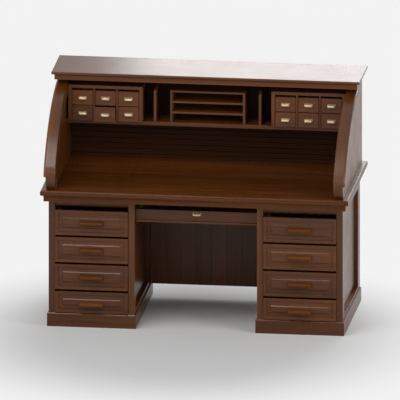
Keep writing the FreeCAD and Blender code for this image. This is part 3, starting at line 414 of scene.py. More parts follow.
# %% [markdown]
# ## Finishing a board
# A planed board has no razor edges: each is broken with a touch of sandpaper, and that narrow
# round catches the light. A Bevel modifier could do it, but bmesh also returns the new faces, so
# they can be marked for the edge wear in the same step. Cuts across a frame, where a stile meets
# a rail, split the faces so that each board gets its own grain and tone. Weighted normals keep
# the flats flat after rounding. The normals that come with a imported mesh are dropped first: while
# they are there, many edges that turn sharply aren't marked as sharp and shade as if they were round.

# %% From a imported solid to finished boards
MERGE = 0.01 * MM
SQUARE_ON = 0.999
MOSTLY = 0.5
BROKEN_EDGE = 1.2 * MM
FLAT_ANGLE = math.radians(0.5)
SHARP_ANGLE = math.radians(50)
SMOOTH_ANGLE = math.radians(35)
ACROSS = {0: (1, 2), 1: (0, 2), 2: (0, 1)}
body_of_node = {node: body for body, nodes in frame["record"]["behaviour"]["bodies"].items() for node in nodes}


def board_shift(name, key):
    """Random but repeatable place in the tree that one board was sawn from, and its tone."""
    dice = random.Random(name + str(key))
    shift = Vector((dice.uniform(-4, 4), dice.uniform(-0.3, 0.3), dice.uniform(-0.3, 0.3)))
    return shift, dice.uniform(-1, 1)


def place_in_board(point, axis):
    """Along, across and into a board whose grain runs along one axis, or as a function says."""
    if callable(axis):
        return axis(point)
    second, third = ACROSS[axis]
    return Vector((point[axis], point[second], point[third]))


def grain_the_faces(form, name, rule):
    """Store the board and tone attributes. The rule names each face's board and its grain."""
    places = form.loops.layers.float_vector.new("board")
    tones = form.faces.layers.float.new("tone")
    shifts = {}
    for face in form.faces:
        key, axis = rule(face)
        if key not in shifts:
            shifts[key] = board_shift(name, key)
        shift, tone = shifts[key]
        face[tones] = tone
        for corner in face.loops:
            corner[places] = place_in_board(corner.vert.co, axis) + shift


def round_the_edges(form, width):
    """Break the sharp outer edges and mark the new faces as worn."""
    worn = form.faces.layers.float.new("edge")
    sharp = [edge for edge in form.edges
             if len(edge.link_faces) == 2 and edge.calc_face_angle_signed(0.0) > SHARP_ANGLE]
    made = bmesh.ops.bevel(form, geom=sharp, offset=width, offset_type="OFFSET", segments=2,
                           profile=0.5, affect="EDGES", clamp_overlap=False)
    for face in made["faces"]:
        face[worn] = 1.0


def mesh_from(form, name):
    """Plain mesh from a bmesh, which is used up."""
    mesh = bpy.data.meshes.new(name)
    form.to_mesh(mesh)
    form.free()
    return mesh


def pour_into(form, other):
    """Add what another bmesh holds, and use it up."""
    mesh = mesh_from(other, "poured")
    form.from_mesh(mesh)
    bpy.data.meshes.remove(mesh)


def evaluated_mesh(thing):
    """What an object's modifiers make of it, as plain mesh."""
    bpy.context.view_layer.update()
    graph = bpy.context.evaluated_depsgraph_get()
    return bpy.data.meshes.new_from_object(thing.evaluated_get(graph), preserve_all_data_layers=True,
                                           depsgraph=graph)


def settle(piece):
    """Turn the piece's modifiers into plain mesh."""
    mesh = evaluated_mesh(piece)
    old = piece.data
    piece.modifiers.clear()
    piece.data = mesh
    bpy.data.meshes.remove(old)


def piece_from(form, name, materials):
    """Object made from a bmesh, shaded smooth with weighted normals, but crisp where it turns sharply."""
    mesh = mesh_from(form, name)
    packed_normals = mesh.attributes.get("custom_normal")
    if packed_normals:
        mesh.attributes.remove(packed_normals)
    for material in materials:
        mesh.materials.append(material)
    mesh.shade_smooth()
    mesh.set_sharp_from_angle(angle=SMOOTH_ANGLE)
    piece = add_object(name, mesh)
    weighted = piece.modifiers.new("weighted", "WEIGHTED_NORMAL")
    weighted.keep_sharp = True
    weighted.weight = 100
    settle(piece)
    return piece


def claim(piece, node):
    """The piece rides where the node rides and shows in its place."""
    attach(piece, body_of_node[node])
    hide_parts(node)


def cut_through(form, axis, place):
    """Split every face along a plane, as where one board ends and the next begins."""
    normal = Vector((0, 0, 0))
    normal[axis] = 1
    everything = form.verts[:] + form.edges[:] + form.faces[:]
    bmesh.ops.bisect_plane(form, geom=everything, plane_co=normal * place, plane_no=normal)


def merged_copy(node, cuts):
    """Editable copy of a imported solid. Its triangles are joined into flat faces, but not across a cut."""
    form = bmesh.new()
    form.from_mesh(frame["nodes"][node].data)
    bmesh.ops.remove_doubles(form, verts=form.verts, dist=MERGE)
    for axis, place in cuts:
        cut_through(form, axis, place)

    def on_a_cut(edge):
        return any(all(abs(vert.co[axis] - place) < MERGE for vert in edge.verts) for axis, place in cuts)

    free = [edge for edge in form.edges if not on_a_cut(edge)]
    bmesh.ops.dissolve_limit(form, angle_limit=FLAT_ANGLE, verts=form.verts, edges=free)
    return form


def steps_of(node, axes):
    """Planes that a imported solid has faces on. Cut there, a pierced frame falls into plain rectangles."""
    planes = set()
    for face in frame["nodes"][node].data.polygons:
        for axis in axes:
            if abs(face.normal[axis]) > SQUARE_ON:
                planes.add((axis, round(face.center[axis], 5)))
    return sorted(planes)


def finish_node(node, materials, rule, width=BROKEN_EDGE, cuts=(), choose=None, carve=None):
    """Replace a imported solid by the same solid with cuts, rounded edges, grain and materials."""
    form = merged_copy(node, cuts)
    if carve:
        carve(form)
    round_the_edges(form, width)
    grain_the_faces(form, node, rule)
    if choose:
        for face in form.faces:
            face.material_index = choose(face)
    claim(piece_from(form, node + "_made", materials), node)


print("nodes to dress:", len(body_of_node))

# %% [markdown]
# ## Desktop and top board
# Both are wide glued-up boards with the grain along the desk. The joints between the boards are
# nearly invisible, so only the figure and the tone change from one board to the next. The top board
# mirrors the light behind the desk at a flat angle, where clouds in the varnish would show as white
# blotches, so its varnish is rubbed out more evenly.

# %% Desktop, top board and shelf
DESKTOP_BOARDS = 6
TOP_BOARDS = 3


def side_by_side(node, boards, across=1, grain=0):
    """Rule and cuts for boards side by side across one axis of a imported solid, with grain along another."""
    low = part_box(node)[0][across]
    pitch = (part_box(node)[1][across] - low) / boards

    def rule(face):
        return int((face.calc_center_median()[across] - low) / pitch), grain

    return rule, [(across, low + number * pitch) for number in range(1, boards)]


desktop_rule, desktop_cuts = side_by_side("desktop", DESKTOP_BOARDS)
finish_node("desktop", [writing_wood], desktop_rule, cuts=desktop_cuts + steps_of("desktop", (0, 1)))
top_rule, top_cuts = side_by_side("top_board", TOP_BOARDS)
finish_node("top_board", [top_wood], top_rule, cuts=top_cuts)
finish_node("organizer_shelf", [organizer_wood], lambda face: ("shelf", 0))
print("desktop has", DESKTOP_BOARDS, "boards")

# %% [markdown]
# ## Pedestals
# The pedestals are frames: upright stiles, level rails and a raised panel in each side. The grain
# must turn where a rail meets a stile, or the frame looks cast in one piece.

# %% Pedestal frames, sides and plinths
DRAWER_SIDE_GAP = 1.5 * MM
FACE_FRAME = 22 * MM
SIDE_FRONT_STILE = 38 * MM
SIDE_REAR_STILE = 85 * MM
SIDE_TOP_RAIL = 62 * MM
SIDE_LOW_RAIL = 18 * MM
drawer_low, drawer_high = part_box("right_drawer_1")
opening_in = drawer_low[0] - DRAWER_SIDE_GAP
opening_out = drawer_high[0] + DRAWER_SIDE_GAP
plinth_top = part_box("pedestal_plinths")[1][2]
side_low, side_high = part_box("pedestal_sides")
panel_front = side_low[1] + SIDE_FRONT_STILE
panel_back = side_high[1] - SIDE_REAR_STILE
panel_low = plinth_top + SIDE_LOW_RAIL
panel_high = side_high[2] - SIDE_TOP_RAIL


def side_of(value):
    """Left or right half of the desk, and nearer the middle or nearer the end."""
    return ("left" if value < 0 else "right") + ("_in" if abs(value) < (opening_in + opening_out) / 2 else "_out")


def upright_rule(face):
    """Upright grain, with a board for each place along the desk."""
    return side_of(face.calc_center_median().x), 2


def front_frame_rule(face):
    """Level rails between upright stiles."""
    middle = face.calc_center_median()
    if opening_in < abs(middle.x) < opening_out:
        return side_of(middle.x)[:-3] + ("_rail" if middle.z > panel_high else "_foot"), 0
    return upright_rule(face)


def side_rule(face):
    """Upright stiles and panel, and level rails."""
    middle = face.calc_center_median()
    name = side_of(middle.x)
    if middle.y < panel_front or middle.y > panel_back:
        return name + ("_front" if middle.y < panel_front else "_rear"), 2
    if middle.z > panel_high or middle.z < panel_low:
        return name + ("_top" if middle.z > panel_high else "_low"), 1
    return name + "_panel", 2


def plinth_rule(face):
    """Grain along each board, in front and at the sides."""
    middle = face.calc_center_median()
    if middle.y < side_low[1] - FACE_FRAME:
        return side_of(middle.x)[:-3] + "_front", 0
    return side_of(middle.x), 1


frame_cuts = [(0, place) for place in (-opening_in, -opening_out, opening_in, opening_out)]
finish_node("pedestal_front_frames", [case_wood], front_frame_rule, cuts=frame_cuts)
finish_node("pedestal_sides", [side_wood], side_rule, cuts=steps_of("pedestal_sides", (1, 2)))
finish_node("pedestal_plinths", [case_wood], plinth_rule, cuts=[(1, side_low[1] - FACE_FRAME)])
print("pedestal opening from", round(opening_in, 4), "to", round(opening_out, 4))

# %% Modesty panel and backs
MODESTY_BOARD = 18 * MM
MODESTY_BOARDS = 8
MODESTY_EDGE = 0.6 * MM
CASE_BACK_BOARDS = 12
FINE_EDGE = 0.5 * MM
modesty_boards, modesty_cuts = side_by_side("modesty_panel", MODESTY_BOARDS, across=0, grain=2)
guard_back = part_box("modesty_panel")[1][1] - MODESTY_BOARD - MM


def modesty_rule(face):
    """Upright boards, behind one level board that covers the tail of the curtain."""
    return ("tail_guard", 0) if face.calc_center_median().y < guard_back else modesty_boards(face)


finish_node("modesty_panel", [case_wood], modesty_rule, MODESTY_EDGE, modesty_cuts)
back_boards, back_cuts = side_by_side("case_back", CASE_BACK_BOARDS, across=0, grain=2)
finish_node("case_back", [case_wood], back_boards, FINE_EDGE, back_cuts)
# The organizer's back gets the near-black wood, painted shade for the pigeonholes; the other two only change their
# material.
for node, material in (("pedestal_backs", inside_wood), ("organizer_back", painted_shade_back_wood),
                       ("drawer_runners", runner_wood)):
    slots = frame["nodes"][node].data.materials
    slots.clear()
    slots.append(material)
print("boards in the kneehole:", MODESTY_BOARDS)

# %% [markdown]
# ## Roll ends
# Each end is a flat side with a thick rail bent over its front edge. The rail is sawn to the curve,
# so its grain should follow the bend: the place in the board is worked out from the angle round the
# centre of the roll, and not from the straight axes.

# %% Roll ends and cap rails
ROLL_CENTRE = (0.2591, 0.4489)


def along_the_roll(point):
    """Distance round the roll, across the rail and out from the centre."""
    across = ROLL_CENTRE[0] - point.y
    up = point.z - ROLL_CENTRE[1]
    radius = math.hypot(across, up)
    return Vector((math.atan2(across, up) * radius, point.x, radius))


finish_node("roll_ends", [side_wood], upright_rule)
finish_node("roll_end_caps", [case_wood], lambda face: (side_of(face.calc_center_median().x), along_the_roll))
print("roll ends done")

# %% [markdown]
# ## Drawers
# A drawer is a stained front on a box of plain pale wood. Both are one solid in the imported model,
# so the material follows from the place: what lies behind the front board is box wood. The raised
# field of a large front ends in a small steep shoulder, which catches the light from above.

# %% Pedestal and centre drawers
FRONT_BOARD = 20 * MM
CENTRE_BOARD = 18 * MM
CENTRE_LIP = 8 * MM
SHOULDER_WIDTH = 5 * MM
SHOULDER_DEPTH = 4.5 * MM


def carve_shoulder(form):
    """Lower the rim of the raised field, so that the bevel round it ends in a steep shoulder."""
    front_y = min(vert.co.y for vert in form.verts)
    on_front = [face for face in form.faces if all(vert.co.y < front_y + MERGE for vert in face.verts)]
    corners = [vert.co for face in on_front for vert in face.verts]
    middle = Vector([(min(place[axis] for place in corners) + max(place[axis] for place in corners)) / 2
                     for axis in range(3)])
    field = min(on_front, key=lambda face: (face.calc_center_median() - middle).length)
    ring = bmesh.ops.inset_region(form, faces=[field], thickness=SHOULDER_WIDTH, use_even_offset=True)["faces"]
    rim = {vert for face in ring for vert in face.verts} - set(field.verts)
    for vert in rim:
        vert.co.y += SHOULDER_DEPTH


def finish_drawer(node, board, material, lip=0.0, width=BROKEN_EDGE, carve=None):
    """Stained front, and a plain box that starts behind the front board."""
    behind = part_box(node)[0][1] + lip + board

    def rule(face):
        middle = face.calc_center_median()
        if middle.y < behind:
            return "front", 0
        if abs(face.normal.x) > MOSTLY:
            return ("side", middle.x > 0), 1
        return ("floor" if abs(face.normal.z) > MOSTLY else "back"), 0

    def choose(face):
        return 0 if face.calc_center_median().y < behind + MM else 1

    finish_node(node, [material, box_wood], rule, width, [(1, behind)], choose, carve)


PEDESTAL_DRAWERS = [f"{side}_drawer_{number}" for side in ("left", "right") for number in range(1, 5)]
for name in PEDESTAL_DRAWERS:
    finish_drawer(name, FRONT_BOARD, drawer_wood, carve=carve_shoulder)
finish_drawer("centre_drawer", CENTRE_BOARD, drawer_wood, lip=CENTRE_LIP)
print("drawers:", len(PEDESTAL_DRAWERS) + 1)

# %% Small drawers of the banks
SMALL_BOARD = 12 * MM
SMALL_DRAWERS = [f"{side}_bank_{row}_{number}" for side in ("left", "right") for row in ("upper", "lower")
                 for number in range(1, 4)]
for name in SMALL_DRAWERS:
    finish_drawer(name, SMALL_BOARD, organizer_wood, width=FINE_EDGE)
print("small drawers:", len(SMALL_DRAWERS))

# %% Banks, letter rack and dividers
BANK_BOARD = 18 * MM
RACK_SIDE = 12 * MM
RACK_EDGE = 0.8 * MM
bank_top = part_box("drawer_banks")[1][2]
rack_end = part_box("letter_rack")[1][0]


def bank_rule(face):
    """Level top and shelves, and upright partitions."""
    middle = face.calc_center_median()
    side = side_of(middle.x)[:-3]
    if middle.z > bank_top - BANK_BOARD - MM:
        return side + "_top", 0
    if abs(face.normal.z) > MOSTLY:
        return side + "_shelf", 0
    return (side, round(middle.x, 2)), 2


def rack_rule(face):
    """Upright sides and level shelves."""
    middle = face.calc_center_median()
    if abs(middle.x) > rack_end - RACK_SIDE:
        return side_of(middle.x), 2
    return ("shelf", round(middle.z, 2)), 0


finish_node("drawer_banks", [organizer_wood], bank_rule, FINE_EDGE, steps_of("drawer_banks", (0, 2)))
finish_node("letter_rack", [organizer_wood], rack_rule, RACK_EDGE, steps_of("letter_rack", (0, 2)))
finish_node("pigeonhole_dividers", [organizer_wood], upright_rule, RACK_EDGE)
print("organizer done")

# %% [markdown]
# ## Wooden pulls
# The pull of a large drawer is a short bar: its face swells down to a lip, with a finger groove
# below. Its section is the same all along, but the ends sweep back to the drawer. A loft does both:
# the section is repeated at stations along the bar, and each station near an end is pushed back on a
# quarter circle.

# %% Carve the wooden pulls
PULL_ROUND_END = 12 * MM
PULL_END_LIMIT = 0.985
PULL_STATIONS = 7
PULL_SWELL = (0.72, 0.98)
PULL_LIP = 0.37
PULL_UNDERSIDE = 0.17
GROOVE_FRONT = 0.64
GROOVE_BACK = 0.36
GROOVE_TOP = 0.62


def loft(form, sections):
    """Skin over a row of closed sections with the same number of points, with both ends closed."""
    rings = [[form.verts.new(point) for point in section] for section in sections]
    count = len(rings[0])
    for first, second in zip(rings, rings[1:]):
        for number in range(count):
            following = (number + 1) % count
            form.faces.new((first[number], first[following], second[following], second[number]))
    form.faces.new(rings[0][::-1])
    form.faces.new(rings[-1])
    bmesh.ops.recalc_face_normals(form, faces=form.faces)


def bend_points(start, control, end, steps):
    """Points along a quadratic curve that leaves for its control point and arrives from it."""
    points = []
    for step in range(steps + 1):
        share = step / steps
        points.append(tuple((1 - share) ** 2 * start[axis] + 2 * share * (1 - share) * control[axis]
                            + share ** 2 * end[axis] for axis in range(2)))
    return points


def pull_section(depth, height):
    """Outline (out, up): the rounded face, the lip, the finger groove below and the root."""
    lip = PULL_LIP * height
    under = PULL_UNDERSIDE * height
    outline = bend_points((0.0, height), (-PULL_SWELL[0] * depth, PULL_SWELL[1] * height), (-depth, lip), 10)
    outline += bend_points((-depth, under), (-depth, 0.0), (-depth + under, 0.0), 4)
    outline += bend_points((-GROOVE_FRONT * depth, 0.0), (-0.5 * depth, GROOVE_TOP * height),
                           (-GROOVE_BACK * depth, 0.0), 6)
    return outline + [(0.0, 0.0)]


def pull_station(offset, half, depth):
    """Share of its depth that the section keeps at one place along the bar."""
    past = abs(offset) - (half - PULL_ROUND_END)
    if past <= 0:
        return 1.0
    share = min(past / PULL_ROUND_END, PULL_END_LIMIT)
    return 1.0 - (PULL_ROUND_END / depth) * (1.0 - math.sqrt(1.0 - share * share))


def wooden_pull(node):
    """Carved bar in the box of a packed pull."""
    low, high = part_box(node)
    half = (high[0] - low[0]) / 2
    middle = (high[0] + low[0]) / 2
    depth = high[1] - low[1]
    height = high[2] - low[2]
    ends = [half - PULL_ROUND_END * (1 - math.sin(math.radians(90 * step / PULL_STATIONS)))
            for step in range(PULL_STATIONS + 1)]
    offsets = [-value for value in reversed(ends)] + ends
    sections = []
    for offset in offsets:
        kept = pull_station(offset, half, depth)
        sections.append([(middle + offset, high[1] + out * kept, low[2] + up)
                         for out, up in pull_section(depth, height)])
    form = bmesh.new()
    loft(form, sections)
    form.faces.layers.float.new("edge")
    grain_the_faces(form, node, lambda face: ("bar", 0))
    claim(piece_from(form, node + "_made", [pull_wood]), node)


for name in PEDESTAL_DRAWERS:
    wooden_pull(name + "_pull")
print("wooden pulls:", len(PEDESTAL_DRAWERS))

# %% [markdown]
# ## Brass cup pulls
# A cup pull is pressed from sheet brass: a flat plate with a hood that is open below, so that the
# fingers reach behind it. The hood is a quarter of a squared-off ellipsoid, which a superellipse
# formula gives. Two small screws hold the plate. They repeat, so Geometry Nodes place them.

# %% Geometry Nodes: copies of one piece on points
def piece_tree(name, size_name, size_kind):
    """Geometry Nodes tree that gets a piece to copy, one size and a finish. Returns it and its inputs."""
    tree = bpy.data.node_groups.new(name, "GeometryNodeTree")
    for label, kind in (("Geometry", "Geometry"), ("Piece", "Object"), (size_name, size_kind), ("Finish", "Material")):
        tree.interface.new_socket(label, in_out="INPUT", socket_type="NodeSocket" + kind)
    tree.interface.new_socket("Geometry", in_out="OUTPUT", socket_type="NodeSocketGeometry")
    return tree, tree.nodes.new("NodeGroupInput").outputs


def place_copies(tree, entry, points, sockets):
    """End of such a tree: a copy of the piece on every point, made real and given its finish."""
    piece = add_node(tree, "GeometryNodeObjectInfo", {"Object": entry["Piece"]})
    placed = add_node(tree, "GeometryNodeInstanceOnPoints",
                      {"Points": points, "Instance": piece.outputs["Geometry"], **sockets})
    real = add_node(tree, "GeometryNodeRealizeInstances", {"Geometry": placed.outputs[0]})
    done = add_node(tree, "GeometryNodeSetMaterial", {"Geometry": real.outputs[0], "Material": entry["Finish"]})
    add_node(tree, "NodeGroupOutput", {0: done.outputs[0]})


def copies_on_points():
    """Tree that puts a copy of one object on every vertex, facing the sitter."""
    tree, entry = piece_tree("copies_on_points", "Size", "Float")
    place_copies(tree, entry, entry["Geometry"], {"Scale": entry["Size"]})
    return tree


def add_tree(thing, tree, **values):
    """Put a Geometry Nodes tree on an object and fill its inputs, which have names in the tree."""
    modifier = thing.modifiers.new(tree.name, "NODES")
    modifier.node_group = tree
    for item in tree.interface.items_tree:
        if item.in_out == "INPUT" and item.name in values:
            modifier[item.identifier] = values[item.name]


copies_tree = copies_on_points()
print("tree:", copies_tree.name)

# %% Press the cup pull
# Shares of the plate's width and height, then powers of the superellipse
HOOD_WIDTH = 0.94
HOOD_RISE = 0.80
HOOD_FOOT = 0.40
PLATE_CORNER = 0.2
HOOD_SQUARE = 0.35
HOOD_DOME = 0.8
HOOD_ROUND_STEPS = 20
HOOD_RISE_STEPS = 8
SHEET = 1.2 * MM
SCREW_RADIUS = 1.9 * MM
SCREW_SIDES = 16
SCREW_DOME = [(1.0, 0.0), (0.95, 0.18), (0.75, 0.34), (0.4, 0.44), (0.0, 0.46)]


def squared(value, power):
    """Superellipse: keeps the sign and flattens the curve."""
    return math.copysign(abs(value) ** power, value)


def screw_template():
    """Domed round head at the origin, facing the sitter. Its last ring is merged into one point."""
    turns = [2 * math.pi * step / SCREW_SIDES for step in range(SCREW_SIDES)]
    form = bmesh.new()
    loft(form, [[(radius * SCREW_RADIUS * math.cos(turn), -out * SCREW_RADIUS, radius * SCREW_RADIUS * math.sin(turn))
                 for turn in turns] for radius, out in SCREW_DOME])
    bmesh.ops.remove_doubles(form, verts=form.verts, dist=MERGE)
    mesh = mesh_from(form, "screw")
    mesh.shade_smooth()
    return add_object("screw", mesh)


def hood_form(half_width, depth, rise):
    """Quarter of a squared ellipsoid, as a shell that is open below and behind."""
    form = bmesh.new()
    turns = [math.pi * step / HOOD_ROUND_STEPS for step in range(HOOD_ROUND_STEPS + 1)]
    lifts = [math.pi / 2 * climb / HOOD_RISE_STEPS for climb in range(HOOD_RISE_STEPS + 1)]

    def corner(inset, turn, lift):
        out = squared(math.sin(turn), HOOD_SQUARE)
        return form.verts.new(((half_width - inset) * squared(math.cos(turn), HOOD_SQUARE),
                               -(depth - inset) * out * squared(math.cos(lift), HOOD_DOME),
                               (rise - inset) * out * squared(math.sin(lift), HOOD_DOME)))

    outer, inner = [[[corner(inset, turn, lift) for lift in lifts] for turn in turns] for inset in (0.0, SHEET)]
    for rows, flip in ((outer, False), (inner, True)):
        for first, second in zip(rows, rows[1:]):
            for climb in range(HOOD_RISE_STEPS):
                corners = [first[climb], second[climb], second[climb + 1], first[climb + 1]]
                form.faces.new(corners[::-1] if flip else corners)
    for edge in (0, HOOD_RISE_STEPS):
        for step in range(HOOD_ROUND_STEPS):
            form.faces.new((outer[step][edge], inner[step][edge], inner[step + 1][edge], outer[step + 1][edge]))
    bmesh.ops.remove_doubles(form, verts=form.verts, dist=MERGE)
    bmesh.ops.recalc_face_normals(form, faces=form.faces)
    return form


def cup_pull_template(width, depth, height):
    """Plate, hood and screws about the middle of the plate's back."""
    form = bmesh.new()
    half = width / 2
    for vert in bmesh.ops.create_cube(form, size=1.0)["verts"]:
        vert.co = Vector((vert.co.x * width, (vert.co.y - 0.5) * SHEET, vert.co.z * height))
    corners = [edge for edge in form.edges if abs((edge.verts[0].co - edge.verts[1].co).y) > SHEET / 2]
    bmesh.ops.bevel(form, geom=corners, offset=height * PLATE_CORNER, segments=4, profile=0.5, affect="EDGES")
    hood = hood_form(half * HOOD_WIDTH, depth - SHEET, height * HOOD_RISE)
    bmesh.ops.translate(hood, verts=hood.verts, vec=(0, -SHEET / 2, -height * HOOD_FOOT))
    pour_into(form, hood)
    form.faces.layers.float.new("edge")
    cup = piece_from(form, "cup", [brass])

    spots = bpy.data.meshes.new("screw_spots")
    ear = (half + half * HOOD_WIDTH) / 2
    spots.from_pydata([(-ear, -SHEET, 0), (ear, -SHEET, 0)], [], [])
    screws = add_object("screws", spots)
    screw = screw_template()
    add_tree(screws, copies_tree, Piece=screw, Size=1.0, Finish=brass)
    settle(screws)
    joined = bmesh.new()
    joined.from_mesh(cup.data)
    joined.from_mesh(screws.data)
    mesh = mesh_from(joined, "cup_pull")
    mesh.materials.append(brass)
    mesh.shade_smooth()
    mesh.set_sharp_from_angle(angle=SMOOTH_ANGLE)
    for spare in (cup, screws, screw):
        bpy.data.objects.remove(spare)
    return mesh


def hang_cup_pull(node, template):
    """Copy of the template at a packed cup pull."""
    low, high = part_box(node)
    mesh = template.copy()
    offset = Vector(((low[0] + high[0]) / 2, high[1], (low[2] + high[2]) / 2))
    for vert in mesh.vertices:
        vert.co += offset
    claim(add_object(node + "_made", mesh), node)


pull_low, pull_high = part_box("centre_drawer_pull")
cup_size = pull_high - pull_low
cup_template = cup_pull_template(*cup_size)
for name in SMALL_DRAWERS + ["centre_drawer"]:
    hang_cup_pull(name + "_pull", cup_template)
print("cup pulls:", len(SMALL_DRAWERS) + 1, "of size", [round(value, 4) for value in cup_size])

# %% [markdown]
# ## Tambour curtain
# The curtain is a row of slats glued to canvas. At rest its lead rail is parked under the top
# board, and the slats hang down behind the organizer, through a slot in the desktop. Geometry Nodes
# fit one slat to a path: the path is a curve, points are spread along it, and each slat turns with
# the path's tangent.

# %% Path and slat
roll = next(joint for joint in frame["record"]["behaviour"]["joints"] if joint["name"] == "roll_top")
CURTAIN_CENTRE = tuple(roll["pos_m"][1:])
TRAVEL = math.radians(roll["range_deg"][1])
CURTAIN_RADIUS = 0.685
BEND_RADIUS = 0.050
BACK_RUN_Y = 0.331
LEAD_MIDDLE_Y = 0.2415
LEAD_REST = math.asin((CURTAIN_CENTRE[0] - LEAD_MIDDLE_Y) / CURTAIN_RADIUS)
LEAD_HEIGHT = 50 * MM
SLAT_PITCH = 29 * MM
SLAT_GAP = 2 * MM
SLAT_THICKNESS = 8 * MM
SLAT_EDGE = 2 * MM
slats_low, slats_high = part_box("tambour_slats")
bend_y = BACK_RUN_Y - BEND_RADIUS
bend_z = CURTAIN_CENTRE[1] + math.sqrt((CURTAIN_RADIUS - BEND_RADIUS) ** 2 - (bend_y - CURTAIN_CENTRE[0]) ** 2)
bend_start = math.atan2(CURTAIN_CENTRE[0] - bend_y, bend_z - CURTAIN_CENTRE[1])
arc_length = (LEAD_REST - bend_start) * CURTAIN_RADIUS
bend_length = (bend_start + math.pi / 2) * BEND_RADIUS


def on_circle(centre, radius, angle):
    """Point (y, z) on a circle, angle from straight up towards the sitter."""
    return centre[0] - radius * math.sin(angle), centre[1] + radius * math.cos(angle)


def curtain_point(distance):
    """Point of the curtain's middle line, that far behind the middle of the lead rail."""
    if distance < arc_length:
        y, z = on_circle(CURTAIN_CENTRE, CURTAIN_RADIUS, LEAD_REST - distance / CURTAIN_RADIUS)
    elif distance < arc_length + bend_length:
        y, z = on_circle((bend_y, bend_z), BEND_RADIUS, bend_start - (distance - arc_length) / BEND_RADIUS)
    else:
        y, z = BACK_RUN_Y, bend_z - (distance - arc_length - bend_length)
    return Vector((0, y, z))


def slat_outline(half):
    """Section (across, out) of one slat: flat canvas side below, broken edges above."""
    low = -SLAT_THICKNESS / 2
    high = SLAT_THICKNESS / 2
    small = SLAT_EDGE / 3
    return [(-half + small, low), (half - small, low), (half, low + small), (half, high - SLAT_EDGE),
            (half - SLAT_EDGE, high), (-half + SLAT_EDGE, high), (-half, high - SLAT_EDGE), (-half, low + small)]


def slat_template():
    """One slat about the origin, its length along X and its outer face up."""
    form = bmesh.new()
    outline = slat_outline((SLAT_PITCH - SLAT_GAP) / 2)
    loft(form, [[(x, across, out) for across, out in outline] for x in (slats_low[0], slats_high[0])])
    return add_object("slat", mesh_from(form, "slat"))


def pieces_along_path():
    """Tree that spreads copies of one object along a curve and turns them about X with it."""
    tree, entry = piece_tree("pieces_along_path", "Count", "Int")
    points = add_node(tree, "GeometryNodeCurveToPoints", {"Curve": entry["Geometry"], "Count": entry["Count"]},
                      mode="COUNT")
    turned = add_node(tree, "FunctionNodeAlignRotationToVector", {"Vector": points.outputs["Tangent"]},
                      axis="Y", pivot_axis="X")
    place_copies(tree, entry, points.outputs["Points"], {"Rotation": turned.outputs[0]})
    return tree


path_tree = pieces_along_path()
print("bend starts at", round(math.degrees(bend_start), 2), "degrees")

# %% Hang the parked slats
PATH_STEP = 2 * MM


def parked_distances():
    """Distance of every slat behind the middle of the lead rail, from where the bend begins to the tail."""
    tail = arc_length + bend_length + bend_z - slats_low[2] - (SLAT_PITCH - SLAT_GAP) / 2
    count = 1 + int((tail - arc_length) / SLAT_PITCH - 0.5)
    return [tail - number * SLAT_PITCH for number in reversed(range(count))]


def path_curve(start, end):
    """Curve along the curtain's middle line."""
    steps = round((end - start) / PATH_STEP)
    curve = bpy.data.curves.new("curtain_path", "CURVE")
    curve.dimensions = "3D"
    spline = curve.splines.new("POLY")
    spline.points.add(steps)
    for step, point in enumerate(spline.points):
        point.co = (*curtain_point(start + (end - start) * step / steps), 1)
    return add_object("curtain_path", curve)


parked = parked_distances()
slat = slat_template()
faces_per_slat = len(slat.data.polygons)
path = path_curve(parked[0], parked[-1])
add_tree(path, path_tree, Piece=slat, Count=len(parked), Finish=tambour_wood)
form = bmesh.new()
form.from_mesh(evaluated_mesh(path))
form.faces.layers.float.new("edge")
grain_the_faces(form, "slat", lambda face: (face.index // faces_per_slat, 0))
claim(piece_from(form, "tambour_slats_made", [tambour_wood]), "tambour_slats")
bpy.data.objects.remove(path)
bpy.data.objects.remove(slat)
print("parked slats:", len(parked), "faces each:", faces_per_slat)

# %% [markdown]
# ## Curtain that pulls out
# When the lead rail is drawn down, slats must follow it. These slats start as a stack of thin leaves
# between the lead rail and the bend at the back. Each edge of a leaf is placed where a blend that
# follows the fixed case at one end and the lead rail at the other, easing in and out, would take it
# when the rail is all the way down, so that the leaves would fan out into whole slats.

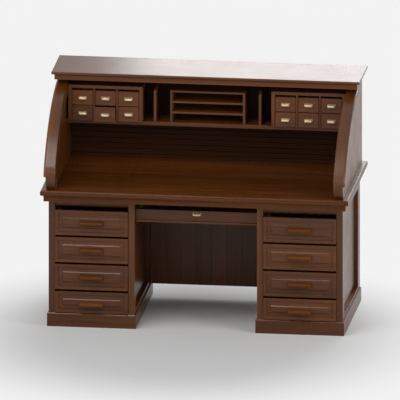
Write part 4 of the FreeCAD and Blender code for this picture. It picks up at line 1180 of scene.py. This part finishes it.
# %% Leaves that fan out into slats
STACK_GAP = 1.5 * MM
HALVINGS = 40
stack_front = LEAD_REST - (LEAD_HEIGHT / 2 + STACK_GAP) / CURTAIN_RADIUS
stack_back = bend_start


def on_curtain(angle, x=0.0, out=0.0):
    """Point of the curtain's front part."""
    y, z = on_circle(CURTAIN_CENTRE, CURTAIN_RADIUS + out, angle)
    return Vector((x, y, z))


blend_start = on_curtain(stack_back)
blend_end = on_curtain(stack_front)


def drawn_angle(angle, out):
    """Where a point of the stack goes when the rail is all the way down."""
    chord = blend_end - blend_start
    share = (on_curtain(angle, out=out) - blend_start).dot(chord) / chord.length_squared
    share = min(max(share, 0.0), 1.0)
    return angle + share * share * (3 - 2 * share) * TRAVEL


def stacked_angle(target, out):
    """Angle in the stack of a point that ends at the target, found by halving."""
    low, high = stack_back, stack_front
    for _ in range(HALVINGS):
        middle = (low + high) / 2
        if drawn_angle(middle, out) < target:
            low = middle
        else:
            high = middle
    return (low + high) / 2


def drawn_curtain():
    """Slats between the frieze and the lead rail, packed into the stack."""
    span = stack_front + TRAVEL - stack_back
    count = int(span * CURTAIN_RADIUS / SLAT_PITCH)
    pitch = span / count
    form = bmesh.new()
    for number in range(count):
        middle = stack_back + (number + 0.5) * pitch
        outline = slat_outline((pitch * CURTAIN_RADIUS - SLAT_GAP) / 2)
        ring = [(stacked_angle(middle + across / CURTAIN_RADIUS, out), out) for across, out in outline]
        leaf = bmesh.new()
        loft(leaf, [[on_curtain(angle, x, out) for angle, out in ring] for x in (slats_low[0], slats_high[0])])
        pour_into(form, leaf)
    form.faces.ensure_lookup_table()
    form.faces.layers.float.new("edge")
    grain_the_faces(form, "leaf", lambda face: (face.index // faces_per_slat, 0))
    mesh = mesh_from(form, "drawn_curtain")
    mesh.materials.append(tambour_wood)
    return add_object("drawn_curtain", mesh), count


front_curtain, leaf_count = drawn_curtain()
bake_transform(front_curtain)
finish_node("tambour_lead_rail", [tambour_wood], lambda face: ("rail", 0))
print("leaves in the stack:", leaf_count)
